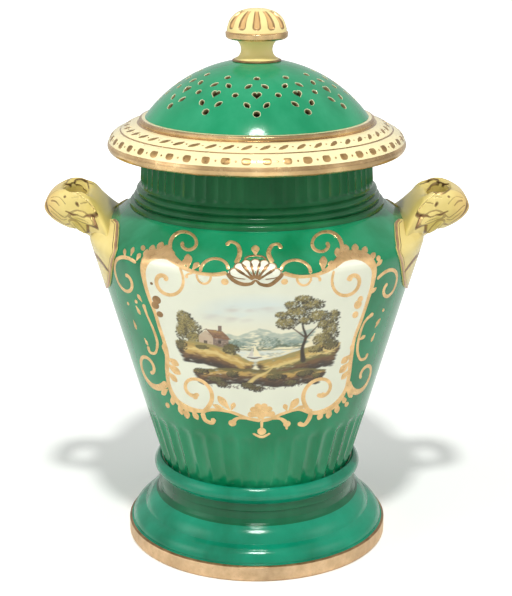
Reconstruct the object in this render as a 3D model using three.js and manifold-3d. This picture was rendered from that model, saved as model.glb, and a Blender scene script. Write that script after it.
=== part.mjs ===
// Porcelain leech jar with a pierced cover. Millimetres, +Z up.
// The origin is the centre of the foot's underside. The painted front faces -Y and the handles lie along X.
// Azimuths are measured from the front towards the right-hand handle.

import * as THREE from 'three';
import { mergeVertices } from 'three/addons/utils/BufferGeometryUtils.js';
import Module from 'manifold-3d';

const wasm = await Module();
wasm.setup();

// Clearances
const luteGap = 0.1; // slip film between sections that are stuck together
const fitGap = 0.3; // round a piece that is cut to the surface it sits on
const coverRest = 0.3; // cover's seat above the mouth
const coverPlay = 1.2; // cover's flange inside the mouth, on the radius

// Socle: foot band, spreading base moulding, waist and the rolled collar
const footRadius = 85.5;
const footRing = 8; // width of the ring that stands on the table
const bandHeight = 10.2;
const mouldingHeight = 30.4;
const waistRadius = 64.4;
const waistTop = 43.8;
const collarHeight = 54.1;
const collarProud = 2.6;
const socleWall = 7;
const seatDepth = 2; // the vessel stands this far down inside the collar

// Vessel: fluted below, plain above, a rounded corner and a sloping shoulder
const baseRadius = 62;
const vesselHeight = 171.2;
const shoulderRise = 17.2; // from the corner up to the neck's seat
const cornerHeight = vesselHeight - shoulderRise;
const cornerRadius = 106.4; // where wall and shoulder would meet if the corner were sharp
const cornerRounding = 7;
const neckSeatRadius = 81.4;
const vesselWall = 5.5;
const floorThickness = 7;
const fluteCount = 42;
const fluteTop = 40;
const fluteDepth = 1.3;

// Neck: three stacked ridges, then the fluted mouth
const neckSetBack = 0.8; // neck's foot inside the edge of its seat
const ridgeSteps = [3.5, 4.1, 4.4]; // height of each ridge, from below
const ridgeIn = [3.2, 1.9, 1.7]; // how far each one steps in
const ridgeRise = 1.3;
const mouthRadius = 72.2;
const mouthBore = 66.4;
const neckHeight = 39.6;
const neckFluteCount = 60;
const neckFluteDepth = 0.8;
const neckFluteFoot = 14;

// Cover: moulded rim with its flange, and the pierced dome
const rimRadius = 93.5;
const rimDrop = 5.6; // rim's edge below the seat
const rimHeight = 14.8;
const rimEdge = 5.2; // height of the gilt edge
const rimWall = 5;
const flangeDepth = 13;
const flangeWall = 4;
const domeRadius = 69.8;
const domeHeight = 33.9;
const domeWall = 4.3;
const crownLand = 0.3; // flat land showing round the knob's foot

// Piercing: one cluster and one single hole in each repeat
const repeats = 12;
const roundHole = 1.85;
const smallHole = 1.45;
const leafHole = [4.7, 2.5];
const heartHole = [4.8, 5.2];

// Knob
const knobFoot = 15.3;
const knobNeck = 9.8;
const knobNeckHeight = 7.8;
const knobBandRadius = 19.4;
const knobBandHeight = 14.8;
const knobBand = 3.6;
const knobHeight = 32.2;
const crownRadius = knobFoot + crownLand;
const grooveCount = 12;
const grooveDepth = 1.3;

// Handle: a stout lug that leans out from the corner, with a leaf lying over it
const handleReach = 26.6; // beyond the sharp corner
const handleWidth = 44;
const handleRise = 31.4; // above the corner
const hollowDepth = 9.4;
const hollowWidth = 7.5;
const leafRelief = 1.2;
const rootRelief = 1.2; // root leaf above the wall it lies on
const rootWidth = 128;
const rootDrop = 38.4; // root leaf below the corner
const rootInset = 24; // how far it reaches in over the shoulder

// Heights of the sections above the table
const vesselBase = collarHeight - seatDepth;
const neckBase = vesselBase + vesselHeight + luteGap;
const coverBase = neckBase + neckHeight + coverRest;
const domeBase = coverBase + rimHeight + luteGap;
const knobBase = domeBase + domeHeight + luteGap;

// Facets round a full turn
const roundSteps = 40;
const domeSteps = 24;
const wallSteps = 60;

const mix = (a, b, t) => a + (b - a) * t;
const radians = (degrees) => (degrees * Math.PI) / 180;

// A revolved outline: corners of radius and height, each with its own rounding.
// Drawn anticlockwise with the radius to the right, so the outside is on the right of each stroke.
class Outline {
  constructor(r, z) {
    this.corners = [{ r, z, rounding: 0 }];
  }

  to(r, z, rounding = 0) {
    this.corners.push({ r, z, rounding });
    return this;
  }

  // A stroke that bulges by rise to its right
  bow(r, z, rise, steps = 3) {
    const from = this.corners[this.corners.length - 1];
    const length = Math.hypot(r - from.r, z - from.z);
    for (let i = 1; i <= steps; i++) {
      const t = i / steps;
      const bulge = (4 * t * (1 - t) * rise) / length;
      this.to(mix(from.r, r, t) + bulge * (z - from.z), mix(from.z, z, t) - bulge * (r - from.r));
    }
    return this;
  }

  points(steps = 3) {
    const result = [];
    this.corners.forEach((corner, i) => {
      const before = this.corners[i - 1];
      const after = this.corners[i + 1];
      const here = new THREE.Vector2(corner.r, corner.z);
      if (!corner.rounding || !before || !after) {
        result.push(here);
        return;
      }
      const back = new THREE.Vector2(before.r, before.z).sub(here);
      const ahead = new THREE.Vector2(after.r, after.z).sub(here);
      const half = Math.abs(back.angleTo(ahead)) / 2;
      const room = Math.min(back.length(), ahead.length()) * 0.49;
      const trim = Math.min(corner.rounding / Math.tan(half), room);
      const start = here.clone().addScaledVector(back.normalize(), trim);
      const end = here.clone().addScaledVector(ahead.normalize(), trim);
      result.push(...new THREE.QuadraticBezierCurve(start, here, end).getPoints(steps));
    });
    return result;
  }
}

// Moves an open outline to its right by distance, mitred at its corners
function offset(points, distance) {
  return points.map((point, i) => {
    const before = points[Math.max(i - 1, 0)];
    const after = points[Math.min(i + 1, points.length - 1)];
    const into = point.clone().sub(before).normalize();
    const out = after.clone().sub(point).normalize();
    const along = into.clone().add(out).normalize();
    const side = new THREE.Vector2(along.y, -along.x);
    const edge = i > 0 ? into : out;
    const spread = side.dot(new THREE.Vector2(edge.y, -edge.x));
    return point.clone().addScaledVector(side, distance / spread);
  });
}

// Radius of an outline where it crosses a height
function radiusAt(points, height) {
  for (let i = 1; i < points.length; i++) {
    const [low, high] = [points[i - 1], points[i]];
    if (height <= high.y || i === points.length - 1) {
      return mix(low.x, high.x, (height - low.y) / (high.y - low.y));
    }
  }
  return points[0].x;
}

const atAzimuth = (r, azimuth, z) => new THREE.Vector3(r * Math.sin(azimuth), -r * Math.cos(azimuth), z);

// A level row of points; radius may depend on the position round the turn, from 0 to 1
function row(steps, radius, z) {
  return Array.from({ length: steps }, (_, i) => {
    const turn = i / steps;
    return atAzimuth(typeof radius === 'function' ? radius(turn) : radius, turn * 2 * Math.PI, z);
  });
}

const pole = (z, x = 0) => [new THREE.Vector3(x, 0, z)];

// Joins two rows of points, of any two lengths, with one band of triangles
function stitch(index, a, b) {
  const aSteps = a.count > 1 ? a.count : 0;
  const bSteps = b.count > 1 ? b.count : 0;
  let i = 0;
  let j = 0;
  while (i < aSteps || j < bSteps) {
    const here = a.start + (i % a.count);
    const above = b.start + (j % b.count);
    if (j >= bSteps || (i < aSteps && (i + 1) / a.count <= (j + 1) / b.count)) {
      index.push(here, a.start + ((i + 1) % a.count), above);
      i++;
    } else {
      index.push(here, b.start + ((j + 1) % b.count), above);
      j++;
    }
  }
}

// A closed skin over rows that run up the outside; an open ring joins its last row to its first
function skin(rows, isRing = false) {
  const index = [];
  const spans = [];
  let start = 0;
  for (const points of rows) {
    spans.push({ start, count: points.length });
    start += points.length;
  }
  for (let i = 1; i < spans.length; i++) {
    stitch(index, spans[i - 1], spans[i]);
  }
  if (isRing) {
    stitch(index, spans[spans.length - 1], spans[0]);
  }
  const geometry = new THREE.BufferGeometry().setFromPoints(rows.flat());
  geometry.setIndex(index);
  return geometry;
}

// Turns an outline about Z
function revolve(points, steps, isRing = false) {
  const outline = isRing ? [...points, points[0].clone()] : points;
  return new THREE.LatheGeometry(outline, steps).rotateX(Math.PI / 2);
}

// Solids

function toSolid(geometry) {
  const bare = geometry.clone();
  bare.deleteAttribute('normal');
  bare.deleteAttribute('uv');
  const merged = mergeVertices(bare, 1e-4);
  const { array } = merged.index;
  const faces = [];
  for (let i = 0; i < array.length; i += 3) {
    const [a, b, c] = [array[i], array[i + 1], array[i + 2]];
    if (a !== b && b !== c && c !== a) {
      faces.push(a, b, c);
    }
  }
  const mesh = new wasm.Mesh({
    numProp: 3,
    vertProperties: new Float32Array(merged.attributes.position.array),
    triVerts: new Uint32Array(faces),
  });
  return new wasm.Manifold(mesh);
}

function toGeometry(solid) {
  const mesh = solid.getMesh();
  const geometry = new THREE.BufferGeometry();
  geometry.setAttribute('position', new THREE.BufferAttribute(mesh.vertProperties, 3));
  geometry.setIndex(new THREE.BufferAttribute(mesh.triVerts, 1));
  return geometry;
}

const extrude = (shape, depth, steps = 4) => new THREE.ExtrudeGeometry(shape, {
  depth,
  bevelEnabled: false,
  curveSegments: steps,
});

// Socle

function socle() {
  const toe = footRadius - 2.6;
  const ring = mix(footRadius, waistRadius, 0.5);
  const shelf = mix(bandHeight, mouldingHeight, 0.5);
  const inner = waistRadius - socleWall;
  const outline = new Outline(footRadius - footRing, 0)
    .to(footRadius - 0.8, 0)
    .to(footRadius, bandHeight * 0.85)
    .to(footRadius - 0.4, bandHeight)
    .to(toe, bandHeight + 0.6)
    .bow(ring, shelf, 0.9, 2)
    .to(ring - 0.7, shelf + 0.5)
    .to(waistRadius + 2.6, mouldingHeight - 1.3, 2.4)
    .to(waistRadius + 0.4, mouldingHeight + 0.6)
    .bow(waistRadius + 0.5, waistTop, -0.6, 2)
    .bow(baseRadius + 2.7, collarHeight, collarProud, 4)
    .to(baseRadius + 1.2, collarHeight - 0.3)
    .to(baseRadius + 0.9, vesselBase - luteGap)
    .to(inner - 3, vesselBase - luteGap)
    .to(inner, waistTop - 3)
    .to(inner, mouldingHeight)
    .to(ring - socleWall, shelf - 3)
    .to(footRadius - footRing - 1, 2.5);
  return revolve(outline.points(2), roundSteps, true);
}

// Vessel

function vesselOutside() {
  return new Outline(baseRadius, 0)
    .to(cornerRadius, cornerHeight, cornerRounding)
    .to(neckSeatRadius, vesselHeight)
    .points(3);
}

// Depth of the hollow flutes: across is -1 to 1 over one flute, past is how far into its round end
function fluteCut(across, past, depth) {
  return depth * Math.max(0, 1 - across * across - past * past);
}

function vessel() {
  const outside = vesselOutside();
  const endLength = (Math.PI * radiusAt(outside, fluteTop)) / fluteCount;
  const fluted = (height) => {
    const past = Math.max(0, (height - fluteTop) / endLength + 1);
    const radius = radiusAt(outside, height);
    return row(fluteCount * 3, (turn) => {
      const across = 2 * ((turn * fluteCount) % 1) - 1;
      return radius - fluteCut(across, past, fluteDepth);
    }, height);
  };
  const inside = offset(outside, -vesselWall);
  const innerTop = radiusAt([inside[inside.length - 1], inside[inside.length - 2]].reverse(), vesselHeight);
  const rows = [
    pole(0),
    fluted(0),
    ...[0.9, 0].map((back) => fluted(fluteTop - back * endLength)),
    ...outside.slice(1).map((point) => row(wallSteps, point.x, point.y)),
    row(roundSteps, innerTop, vesselHeight),
    ...inside.slice(1, -1).reverse().map((point) => row(roundSteps, point.x, point.y)),
    row(roundSteps, radiusAt(inside, floorThickness + 6), floorThickness + 6),
    row(roundSteps, radiusAt(inside, floorThickness) - 5, floorThickness),
    pole(floorThickness),
  ];
  return skin(rows);
}

// Neck

function neck() {
  const outline = new Outline(neckSeatRadius - neckSetBack, 0);
  let radius = neckSeatRadius - neckSetBack;
  let height = 0;
  ridgeSteps.forEach((step, i) => {
    radius -= ridgeIn[i];
    height += step;
    outline.bow(radius, height, ridgeRise, 3);
  });
  const ridges = outline.points().map((point) => row(roundSteps, point.x, point.y));
  const flute = (z, past) => row(neckFluteCount * 2, (turn) => {
    const across = 2 * ((turn * neckFluteCount) % 1) - 1;
    const plain = mix(radius - 0.3, mouthRadius, (z - height) / (neckHeight - height));
    return plain - fluteCut(across, past, neckFluteDepth);
  }, z);
  const rows = [
    ...ridges,
    row(roundSteps, radius - 0.3, height + 0.2),
    flute(neckFluteFoot, 1),
    flute(neckFluteFoot + 1.6, 0),
    flute(neckHeight - 4, 0),
    flute(neckHeight - 3, 1),
    row(roundSteps, mouthRadius - 1, neckHeight),
    row(roundSteps, mouthBore + 1, neckHeight),
    row(roundSteps, mouthBore, neckHeight - 1),
    row(roundSteps, mouthBore, 0),
  ];
  return skin(rows, true);
}

// Cover

function rim() {
  const edgeTop = rimEdge - rimDrop;
  const crease = mix(rimRadius, domeRadius, 0.35);
  const creaseHeight = mix(edgeTop, rimHeight, 0.46);
  const ledge = domeRadius + 3.7;
  const ledgeFoot = rimHeight - 3.1;
  const flange = mouthBore - coverPlay;
  const bore = flange - flangeWall;
  const outline = new Outline(mouthRadius + 1.6, 0)
    .to(mouthRadius + 3, 3)
    .to(crease - 2, creaseHeight - rimWall - 0.6)
    .to(rimRadius - rimWall + 1.2, -rimDrop)
    .to(rimRadius - 1.5, -rimDrop)
    .bow(rimRadius - 0.5, edgeTop, 1.2, 3)
    .bow(crease, creaseHeight, 1.3, 3)
    .bow(ledge + 0.1, ledgeFoot, 1, 2)
    .bow(ledge - 0.3, rimHeight, 0.5, 2)
    .to(domeRadius - domeWall - 0.6, rimHeight)
    .to(bore, rimHeight - 8)
    .to(bore, -flangeDepth)
    .to(flange - 0.8, -flangeDepth)
    .to(flange, 1 - flangeDepth)
    .to(flange, 0);
  return revolve(outline.points(), roundSteps, true);
}

// Sphere through the dome's foot and its crown: centre height and radius
function domeSphere() {
  const span = domeRadius ** 2 - crownRadius ** 2 - domeHeight ** 2;
  const centre = -span / (2 * domeHeight);
  return { centre, radius: Math.hypot(domeRadius, centre) };
}

function domeShell() {
  const { centre, radius } = domeSphere();
  const onSphere = (size, r) => new THREE.Vector2(r, centre + Math.sqrt(size ** 2 - r ** 2));
  const between = [0.45, 0.555, 0.655, 0.75, 0.83].map((out) => out * domeRadius);
  const innerSize = radius - domeWall;
  const innerFoot = Math.sqrt(innerSize ** 2 - centre ** 2);
  return revolve([
    new THREE.Vector2(0, onSphere(innerSize, crownRadius).y),
    ...[crownRadius, between[0], between[2], between[4], innerFoot].map((r) => onSphere(innerSize, r)),
    ...[domeRadius, ...between.slice().reverse(), crownRadius].map((r) => onSphere(radius, r)),
    new THREE.Vector2(0, domeHeight),
  ], domeSteps).rotateZ(radians(180 / domeSteps)); // the pairs of holes fall inside the facets
}

// Hole outlines, drawn in the dome's surface with +Y up the slope

function roundOutline(radius) {
  return new THREE.Shape(Array.from({ length: 6 }, (_, i) => {
    const angle = radians(60 * i);
    return new THREE.Vector2(radius * Math.cos(angle), radius * Math.sin(angle));
  }));
}

function leafOutline([length, width]) {
  return new THREE.Shape()
    .moveTo(0, -length / 2)
    .quadraticCurveTo(width, 0, 0, length / 2)
    .quadraticCurveTo(-width, 0, 0, -length / 2);
}

function heartOutline([width, height]) {
  return new THREE.Shape([
    new THREE.Vector2(0, -height / 2),
    new THREE.Vector2(width / 2, height * 0.12),
    new THREE.Vector2(width * 0.3, height / 2),
    new THREE.Vector2(0, height * 0.25),
    new THREE.Vector2(-width * 0.3, height / 2),
    new THREE.Vector2(-width / 2, height * 0.12),
  ]);
}

// Where each hole of one repeat sits: share of the dome's radius, azimuth and lean in degrees
function piercing() {
  const pitch = 360 / repeats;
  return [
    { shape: roundOutline(roundHole), out: 0.865, azimuth: 0, lean: 0 },
    { shape: leafOutline(leafHole), out: 0.795, azimuth: pitch * 0.2, lean: -40 },
    { shape: leafOutline(leafHole), out: 0.795, azimuth: -pitch * 0.2, lean: 40 },
    { shape: heartOutline(heartHole), out: 0.705, azimuth: 0, lean: 0 },
    { shape: leafOutline(leafHole), out: 0.607, azimuth: pitch * 0.223, lean: 40 },
    { shape: leafOutline(leafHole), out: 0.607, azimuth: -pitch * 0.223, lean: -40 },
    { shape: roundOutline(smallHole), out: 0.5, azimuth: 0, lean: 0 },
    { shape: roundOutline(smallHole), out: 0.705, azimuth: pitch / 2, lean: 0 },
  ];
}

function dome() {
  const { centre, radius } = domeSphere();
  const cutters = [];
  for (let i = 0; i < repeats; i++) {
    for (const hole of piercing()) {
      const depth = domeWall * 2.4;
      const cutter = extrude(hole.shape, depth, 2);
      const tilt = Math.asin((hole.out * domeRadius) / radius);
      cutter.translate(0, 0, -depth / 2);
      cutter.rotateZ(radians(hole.lean));
      cutter.translate(0, 0, radius - domeWall / 2);
      cutter.rotateX(tilt);
      cutter.rotateZ(radians(hole.azimuth + (360 / repeats) * i));
      cutter.translate(0, 0, centre);
      cutters.push(toSolid(cutter));
    }
  }
  return toGeometry(toSolid(domeShell()).subtract(wasm.Manifold.union(cutters)));
}

// Knob

function knob() {
  const bandTop = knobBandHeight + knobBand;
  const capHeight = knobHeight - bandTop;
  const outline = new Outline(knobFoot - 1, 0)
    .to(knobFoot - 0.2, 1.8)
    .bow(knobNeck, knobNeckHeight, -1.6, 2)
    .bow(knobBandRadius - 1.8, knobBandHeight - 1.2, -2, 3)
    .to(knobBandRadius - 0.3, knobBandHeight)
    .to(knobBandRadius, bandTop - 0.6)
    .to(knobBandRadius - 0.7, bandTop);
  const slots = [0, 0.3, 0.5, 0.7]; // land, groove edge, groove, groove edge
  const cut = [0, 0.25, 1, 0.25];
  const cap = (angle, grooved) => {
    const radius = (knobBandRadius - 0.8) * Math.cos(angle) ** 0.85;
    const z = bandTop + capHeight * Math.sin(angle) ** 0.95;
    return Array.from({ length: grooveCount * slots.length }, (_, i) => {
      const slot = i % slots.length;
      const turn = (Math.floor(i / slots.length) + slots[slot] - 0.5) / grooveCount;
      const sunk = grooved * cut[slot] * grooveDepth;
      return atAzimuth(radius - sunk * Math.cos(angle), turn * 2 * Math.PI, z - sunk * Math.sin(angle));
    });
  };
  const rows = [
    pole(0),
    ...outline.points().map((point) => row(grooveCount * 2, point.x, point.y)),
    cap(radians(6), 0),
    cap(radians(12), 1),
    cap(radians(32), 1),
    cap(radians(52), 0.8),
    cap(radians(66), 0),
    pole(knobHeight),
  ];
  return skin(rows);
}

// Handle: sections across the lug, from inside the wall to its outer end, measured from the sharp corner.
// out is a share of the reach, low and high of the rise, wide of the width and dip of the hollow's depth.
const lugSections = [
  { out: -0.56, low: -0.45, high: 0.32, wide: 2.1, dip: 0 },
  { out: -0.41, low: -0.37, high: 0.51, wide: 1.6, dip: 0.1 },
  { out: -0.23, low: -0.27, high: 0.7, wide: 1.25, dip: 0.4 },
  { out: -0.04, low: -0.19, high: 0.87, wide: 1.07, dip: 0.8 },
  { out: 0.17, low: -0.07, high: 0.98, wide: 1, dip: 1 },
  { out: 0.38, low: 0.03, high: 1, wide: 1, dip: 0.9 },
  { out: 0.6, low: 0.11, high: 0.92, wide: 0.95, dip: 0.45 },
  { out: 0.81, low: 0.2, high: 0.78, wide: 0.78, dip: 0.1 },
  { out: 0.95, low: 0.29, high: 0.59, wide: 0.48, dip: 0 },
];
const lugSteps = 16;

// Powers that shape a section: full and square above, rounder and narrower below
const upperRound = { across: 0.8, upwards: 0.6 };
const lowerRound = { across: 1.3, upwards: 1 };

const signedPower = (value, power) => Math.sign(value) * Math.abs(value) ** power;

// One section of the lug: a rounded form with a hollow between two lobes on top
function lugSection(section, puff) {
  const half = (section.wide * handleWidth) / 2 + puff;
  const middle = ((section.high + section.low) / 2) * handleRise;
  const tall = ((section.high - section.low) / 2) * handleRise + puff;
  return Array.from({ length: lugSteps }, (_, i) => {
    const angle = (-i / lugSteps) * 2 * Math.PI;
    const shape = Math.cos(angle) > 0 ? upperRound : lowerRound;
    const y = half * signedPower(Math.sin(angle), shape.across);
    const up = signedPower(Math.cos(angle), shape.upwards);
    const hollow = section.dip * hollowDepth * Math.exp(-((y / hollowWidth) ** 2)) * Math.max(0, up);
    return new THREE.Vector3(section.out * handleReach, y, middle + tall * up - hollow);
  });
}

function lug(puff) {
  const centre = ({ low, high }) => ((low + high) / 2) * handleRise;
  const root = lugSections[0];
  const tip = lugSections[lugSections.length - 1];
  return toSolid(skin([
    pole(centre(root), root.out * handleReach),
    ...lugSections.map((section) => lugSection(section, puff)),
    pole(centre(tip), handleReach + puff),
  ]));
}

// Leaf over the lug: three tips on each side point back to the jar
function leaf() {
  const at = (out, up) => [out * handleReach, up * handleRise];
  const outline = new THREE.Shape()
    .moveTo(...at(2, 1.5))
    .lineTo(...at(0.3, 1.5))
    .lineTo(...at(0.3, 0.92))
    .quadraticCurveTo(...at(-0.04, 0.7), ...at(-0.27, 0.36))
    .lineTo(...at(-0.11, 0.27))
    .lineTo(...at(-0.26, 0.13))
    .lineTo(...at(-0.06, 0.1))
    .lineTo(...at(-0.08, 0.03))
    .quadraticCurveTo(...at(0.15, 0.1), ...at(0.38, -1))
    .lineTo(...at(2, -1));
  const slab = extrude(outline, handleWidth * 2, 4);
  slab.translate(0, 0, -handleWidth);
  slab.rotateX(Math.PI / 2);
  return lug(leafRelief).intersect(toSolid(slab));
}

// A stretch of the vessel's corner, thickened outwards, that the handle's root lies on
function vesselCopy(thickness) {
  const outside = offset(vesselOutside(), thickness);
  const points = [
    new THREE.Vector2(0, outside[0].y),
    ...outside,
    new THREE.Vector2(0, outside[outside.length - 1].y),
  ];
  const solid = toSolid(revolve(points, wallSteps));
  return solid.translate([-cornerRadius, 0, -cornerHeight]);
}

// Root leaf: a shield that lies on the wall and reaches up over the corner
function rootLeaf() {
  const half = rootWidth / 2;
  const side = [
    [0.2, -rootDrop * 0.93],
    [0.4, -rootDrop * 0.84],
    [0.6, -rootDrop * 0.71],
    [0.79, -rootDrop * 0.47],
    [0.94, -rootDrop * 0.17],
    [1, -rootDrop * 0.03],
    [0.88, rootDrop * 0.11],
    [0.72, rootDrop * 0.21],
    [0.51, rootDrop * 0.3],
  ];
  const outline = new THREE.Shape([
    new THREE.Vector2(0, -rootDrop),
    ...side.map(([y, z]) => new THREE.Vector2(y * half, z)),
    ...side.map(([y, z]) => new THREE.Vector2(-y * half, z)).reverse(),
  ]);
  const slab = extrude(outline, cornerRadius * 0.5);
  slab.rotateX(Math.PI / 2);
  slab.rotateZ(Math.PI / 2);
  slab.translate(-rootInset, 0, 0);
  return toSolid(slab).intersect(vesselCopy(rootRelief));
}

function handle() {
  const solid = lug(0).add(leaf()).add(rootLeaf());
  return toGeometry(solid.subtract(vesselCopy(fitGap)));
}

// Finishes

const glaze = (color, roughness = 0.18) => new THREE.MeshStandardMaterial({ color, roughness, metalness: 0 });
const green = glaze(0x3aa27c);
const darkGreen = glaze(0x2c7f58);
const yellow = glaze(0xf0e2a6);

function piece(name, geometry, material, height) {
  const mesh = new THREE.Mesh(geometry, material);
  mesh.name = name;
  mesh.position.z = height;
  return mesh;
}

const jar = new THREE.Group();
jar.add(
  piece('socle', socle(), green, 0),
  piece('jar_body', vessel(), green, vesselBase),
  piece('neck_collar', neck(), darkGreen, neckBase),
);

const handleShape = handle();
for (const [name, turn] of [['handle_right', 0], ['handle_left', Math.PI]]) {
  const arm = new THREE.Group();
  arm.rotation.z = turn;
  const mesh = piece(name, handleShape, yellow, vesselBase + cornerHeight);
  mesh.position.x = cornerRadius;
  arm.add(mesh);
  jar.add(arm);
}

const cover = new THREE.Group();
cover.add(
  piece('cover_rim', rim(), yellow, coverBase),
  piece('cover_dome', dome(), green, domeBase),
  piece('finial_knob', knob(), yellow, knobBase),
);

const leechJar = new THREE.Group();
leechJar.add(jar, cover);

export default leechJar;
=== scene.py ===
# Porcelain leech jar with a pierced cover: its surfaces and finish, over the CAD frame.
# Shapes are drawn in millimetres and placed in metres. Azimuths run from the front towards +X.
import math
import random

import bmesh
import bpy
import numpy as np
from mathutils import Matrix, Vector
from mathutils.geometry import delaunay_2d_cdt

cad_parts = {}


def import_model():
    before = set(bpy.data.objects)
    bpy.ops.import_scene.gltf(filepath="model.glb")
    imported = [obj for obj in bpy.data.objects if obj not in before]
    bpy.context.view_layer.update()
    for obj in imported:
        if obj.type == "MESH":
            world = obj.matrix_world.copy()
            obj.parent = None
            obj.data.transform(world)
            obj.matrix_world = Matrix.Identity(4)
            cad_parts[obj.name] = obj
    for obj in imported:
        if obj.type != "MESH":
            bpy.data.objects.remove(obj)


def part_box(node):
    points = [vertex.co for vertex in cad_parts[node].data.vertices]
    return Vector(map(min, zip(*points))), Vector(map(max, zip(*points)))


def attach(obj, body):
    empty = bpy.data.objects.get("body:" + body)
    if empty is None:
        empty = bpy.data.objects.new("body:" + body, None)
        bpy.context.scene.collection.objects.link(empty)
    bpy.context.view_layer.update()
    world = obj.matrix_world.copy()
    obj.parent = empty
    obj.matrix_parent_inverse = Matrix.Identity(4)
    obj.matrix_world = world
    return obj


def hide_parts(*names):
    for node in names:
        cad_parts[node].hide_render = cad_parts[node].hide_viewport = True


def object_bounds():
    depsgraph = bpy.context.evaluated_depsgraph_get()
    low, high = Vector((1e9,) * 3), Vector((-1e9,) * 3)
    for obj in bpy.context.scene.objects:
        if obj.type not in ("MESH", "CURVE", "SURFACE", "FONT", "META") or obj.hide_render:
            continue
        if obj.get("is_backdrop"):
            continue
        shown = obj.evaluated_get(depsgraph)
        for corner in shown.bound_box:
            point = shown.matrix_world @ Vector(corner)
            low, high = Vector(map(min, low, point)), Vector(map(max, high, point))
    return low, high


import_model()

cad_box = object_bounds()
MM = 0.001
TURN = 2 * math.pi


def low(node):
    """Height of a CAD node's foot, in mm."""
    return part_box(node)[0].z / MM


def high(node):
    """Height of a CAD node's top, in mm."""
    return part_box(node)[1].z / MM


# Sizes of the turned forms, in mm
FOOT_RADIUS = 85.5
FOOT_RING = 8
FOOT_BAND = 10.2
WAIST_RADIUS = 64.6
SOCLE_WALL = 7
BASE_RADIUS = 62
CORNER_RADIUS = 106.05
CORNER_ROUNDING = 7
SHOULDER_RISE = 17.2
SEAT_RADIUS = 81.4
VESSEL_WALL = 5.5
FLOOR = 7
FLUTES = 42
FLUTE_TOP = 40
FLUTE_DEPTH = 1.3
MOUTH_RADIUS = 72.2
MOUTH_BORE = 66.4
NECK_FLUTES = 60
NECK_FLUTE_DEPTH = 1.25
NECK_FLUTE_FOOT = 14
RIM_RADIUS = 93.5
RIM_DROP = 5.6
RIM_WALL = 5
FLANGE_RADIUS = 65.2
FLANGE_WALL = 4
DOME_RADIUS = 69.8
DOME_WALL = 4.3
CROWN_RADIUS = 15.6
KNOB_FOOT = 15.3
KNOB_NECK = 9.8
KNOB_BAND_RADIUS = 19.4
KNOB_GROOVES = 12
HANDLE_REACH = 26.95
HANDLE_RISE = 31.4
HANDLE_WIDTH = 44
HOLLOW_DEPTH = 10.6
HOLLOW_WIDTH = 17

SOCLE_TOP = high("socle")
VESSEL_BASE = low("jar_body")
SEAT_HEIGHT = high("jar_body")
CORNER_HEIGHT = SEAT_HEIGHT - SHOULDER_RISE
NECK_BASE = low("neck_collar")
NECK_TOP = high("neck_collar")
FLANGE_FOOT = low("cover_rim")
RIM_TOP = high("cover_rim")
COVER_SEAT = NECK_TOP + 0.3
DOME_BASE = low("cover_dome")
DOME_TOP = high("cover_dome")
KNOB_BASE = low("finial_knob")
KNOB_TOP = high("finial_knob")

GILT_RISE = 0.16  # gilding stands this far off the glaze
SUNK = -0.08  # edges of what is laid on the glaze end below it

# Points, lines and outlines


def mix(a, b, t):
    return a + (b - a) * t


def unit(vectors):
    return vectors / (np.linalg.norm(vectors, axis=-1, keepdims=True) + 1e-9)


def run(points, power=1):
    """Distance along a line of points, each step raised to a power."""
    return np.concatenate([[0], np.cumsum(np.linalg.norm(np.diff(points, axis=0), axis=1) ** power)])


def stacked(*parts):
    return np.stack(np.broadcast_arrays(*parts), -1)


def around(r, azimuth, z):
    """Places at a radius, an azimuth and a height."""
    return stacked(r * np.sin(azimuth), -r * np.cos(azimuth), z)


def turns(count):
    """Even angles once round."""
    return np.arange(count) / count * TURN


def loop(count, first=0):
    """Neighbours in a closed loop of numbered points."""
    return [(first + i, first + (i + 1) % count) for i in range(count)]


def clockwise(outline):
    arms = outline - outline.mean(0)
    return np.cross(arms, np.roll(arms, -1, 0)).sum() < 0


def moved_in(outline, tangent, by):
    """A closed outline moved towards its inside, square to its tangents."""
    normal = stacked(-tangent[:, 1], tangent[:, 0])
    return outline + normal * (-by if clockwise(outline) else by)


def inset(outline, by):
    outline = np.array(outline, float)
    return moved_in(outline, unit(np.roll(outline, -1, 0) - np.roll(outline, 1, 0)), by)


def grown(outline, by):
    """An outline moved outwards, its corners kept sharp."""
    outline = np.array(outline, float)
    into = unit(outline - np.roll(outline, 1, 0))
    return moved_in(outline, unit(into + np.roll(into, -1, 0)), -by)


def inside(points, polygon):
    """Which points lie in a polygon."""
    x, y = points[:, 0][:, None], points[:, 1][:, None]
    ax, ay = polygon.T
    bx, by = np.roll(polygon, -1, 0).T
    with np.errstate(divide="ignore", invalid="ignore"):
        at = (bx - ax) * (y - ay) / (by - ay) + ax
    return (((ay > y) != (by > y)) & (x < at)).sum(1) % 2 == 1


def distance(points, line, closed=False):
    """Distance of points from a line of points."""
    best = np.full(len(points), 1e9)
    ends = np.roll(line, -1, 0)
    for p, q in list(zip(line, ends))[:None if closed else -1]:
        d = q - p
        t = np.clip(((points - p) @ d) / (d @ d + 1e-12), 0, 1)
        best = np.minimum(best, np.linalg.norm(points - p - t[:, None] * d, axis=1))
    return best


def filled(points, loops):
    """Triangles over flat points that keep the loops' edges, and where each point went."""
    corners = [Vector(p) for p in points]
    points, _, triangles, origin, *_ = delaunay_2d_cdt(corners, loops, [], 0, 1e-5)
    points, triangles = np.array([tuple(p) for p in points]), np.array(triangles)
    a, b, c = (points[triangles[:, k]] for k in range(3))
    turned_over = np.cross(b - a, c - a) < 0
    triangles[turned_over] = triangles[turned_over][:, ::-1]
    return points, triangles, {old: new for new, olds in enumerate(origin) for old in olds}


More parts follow.
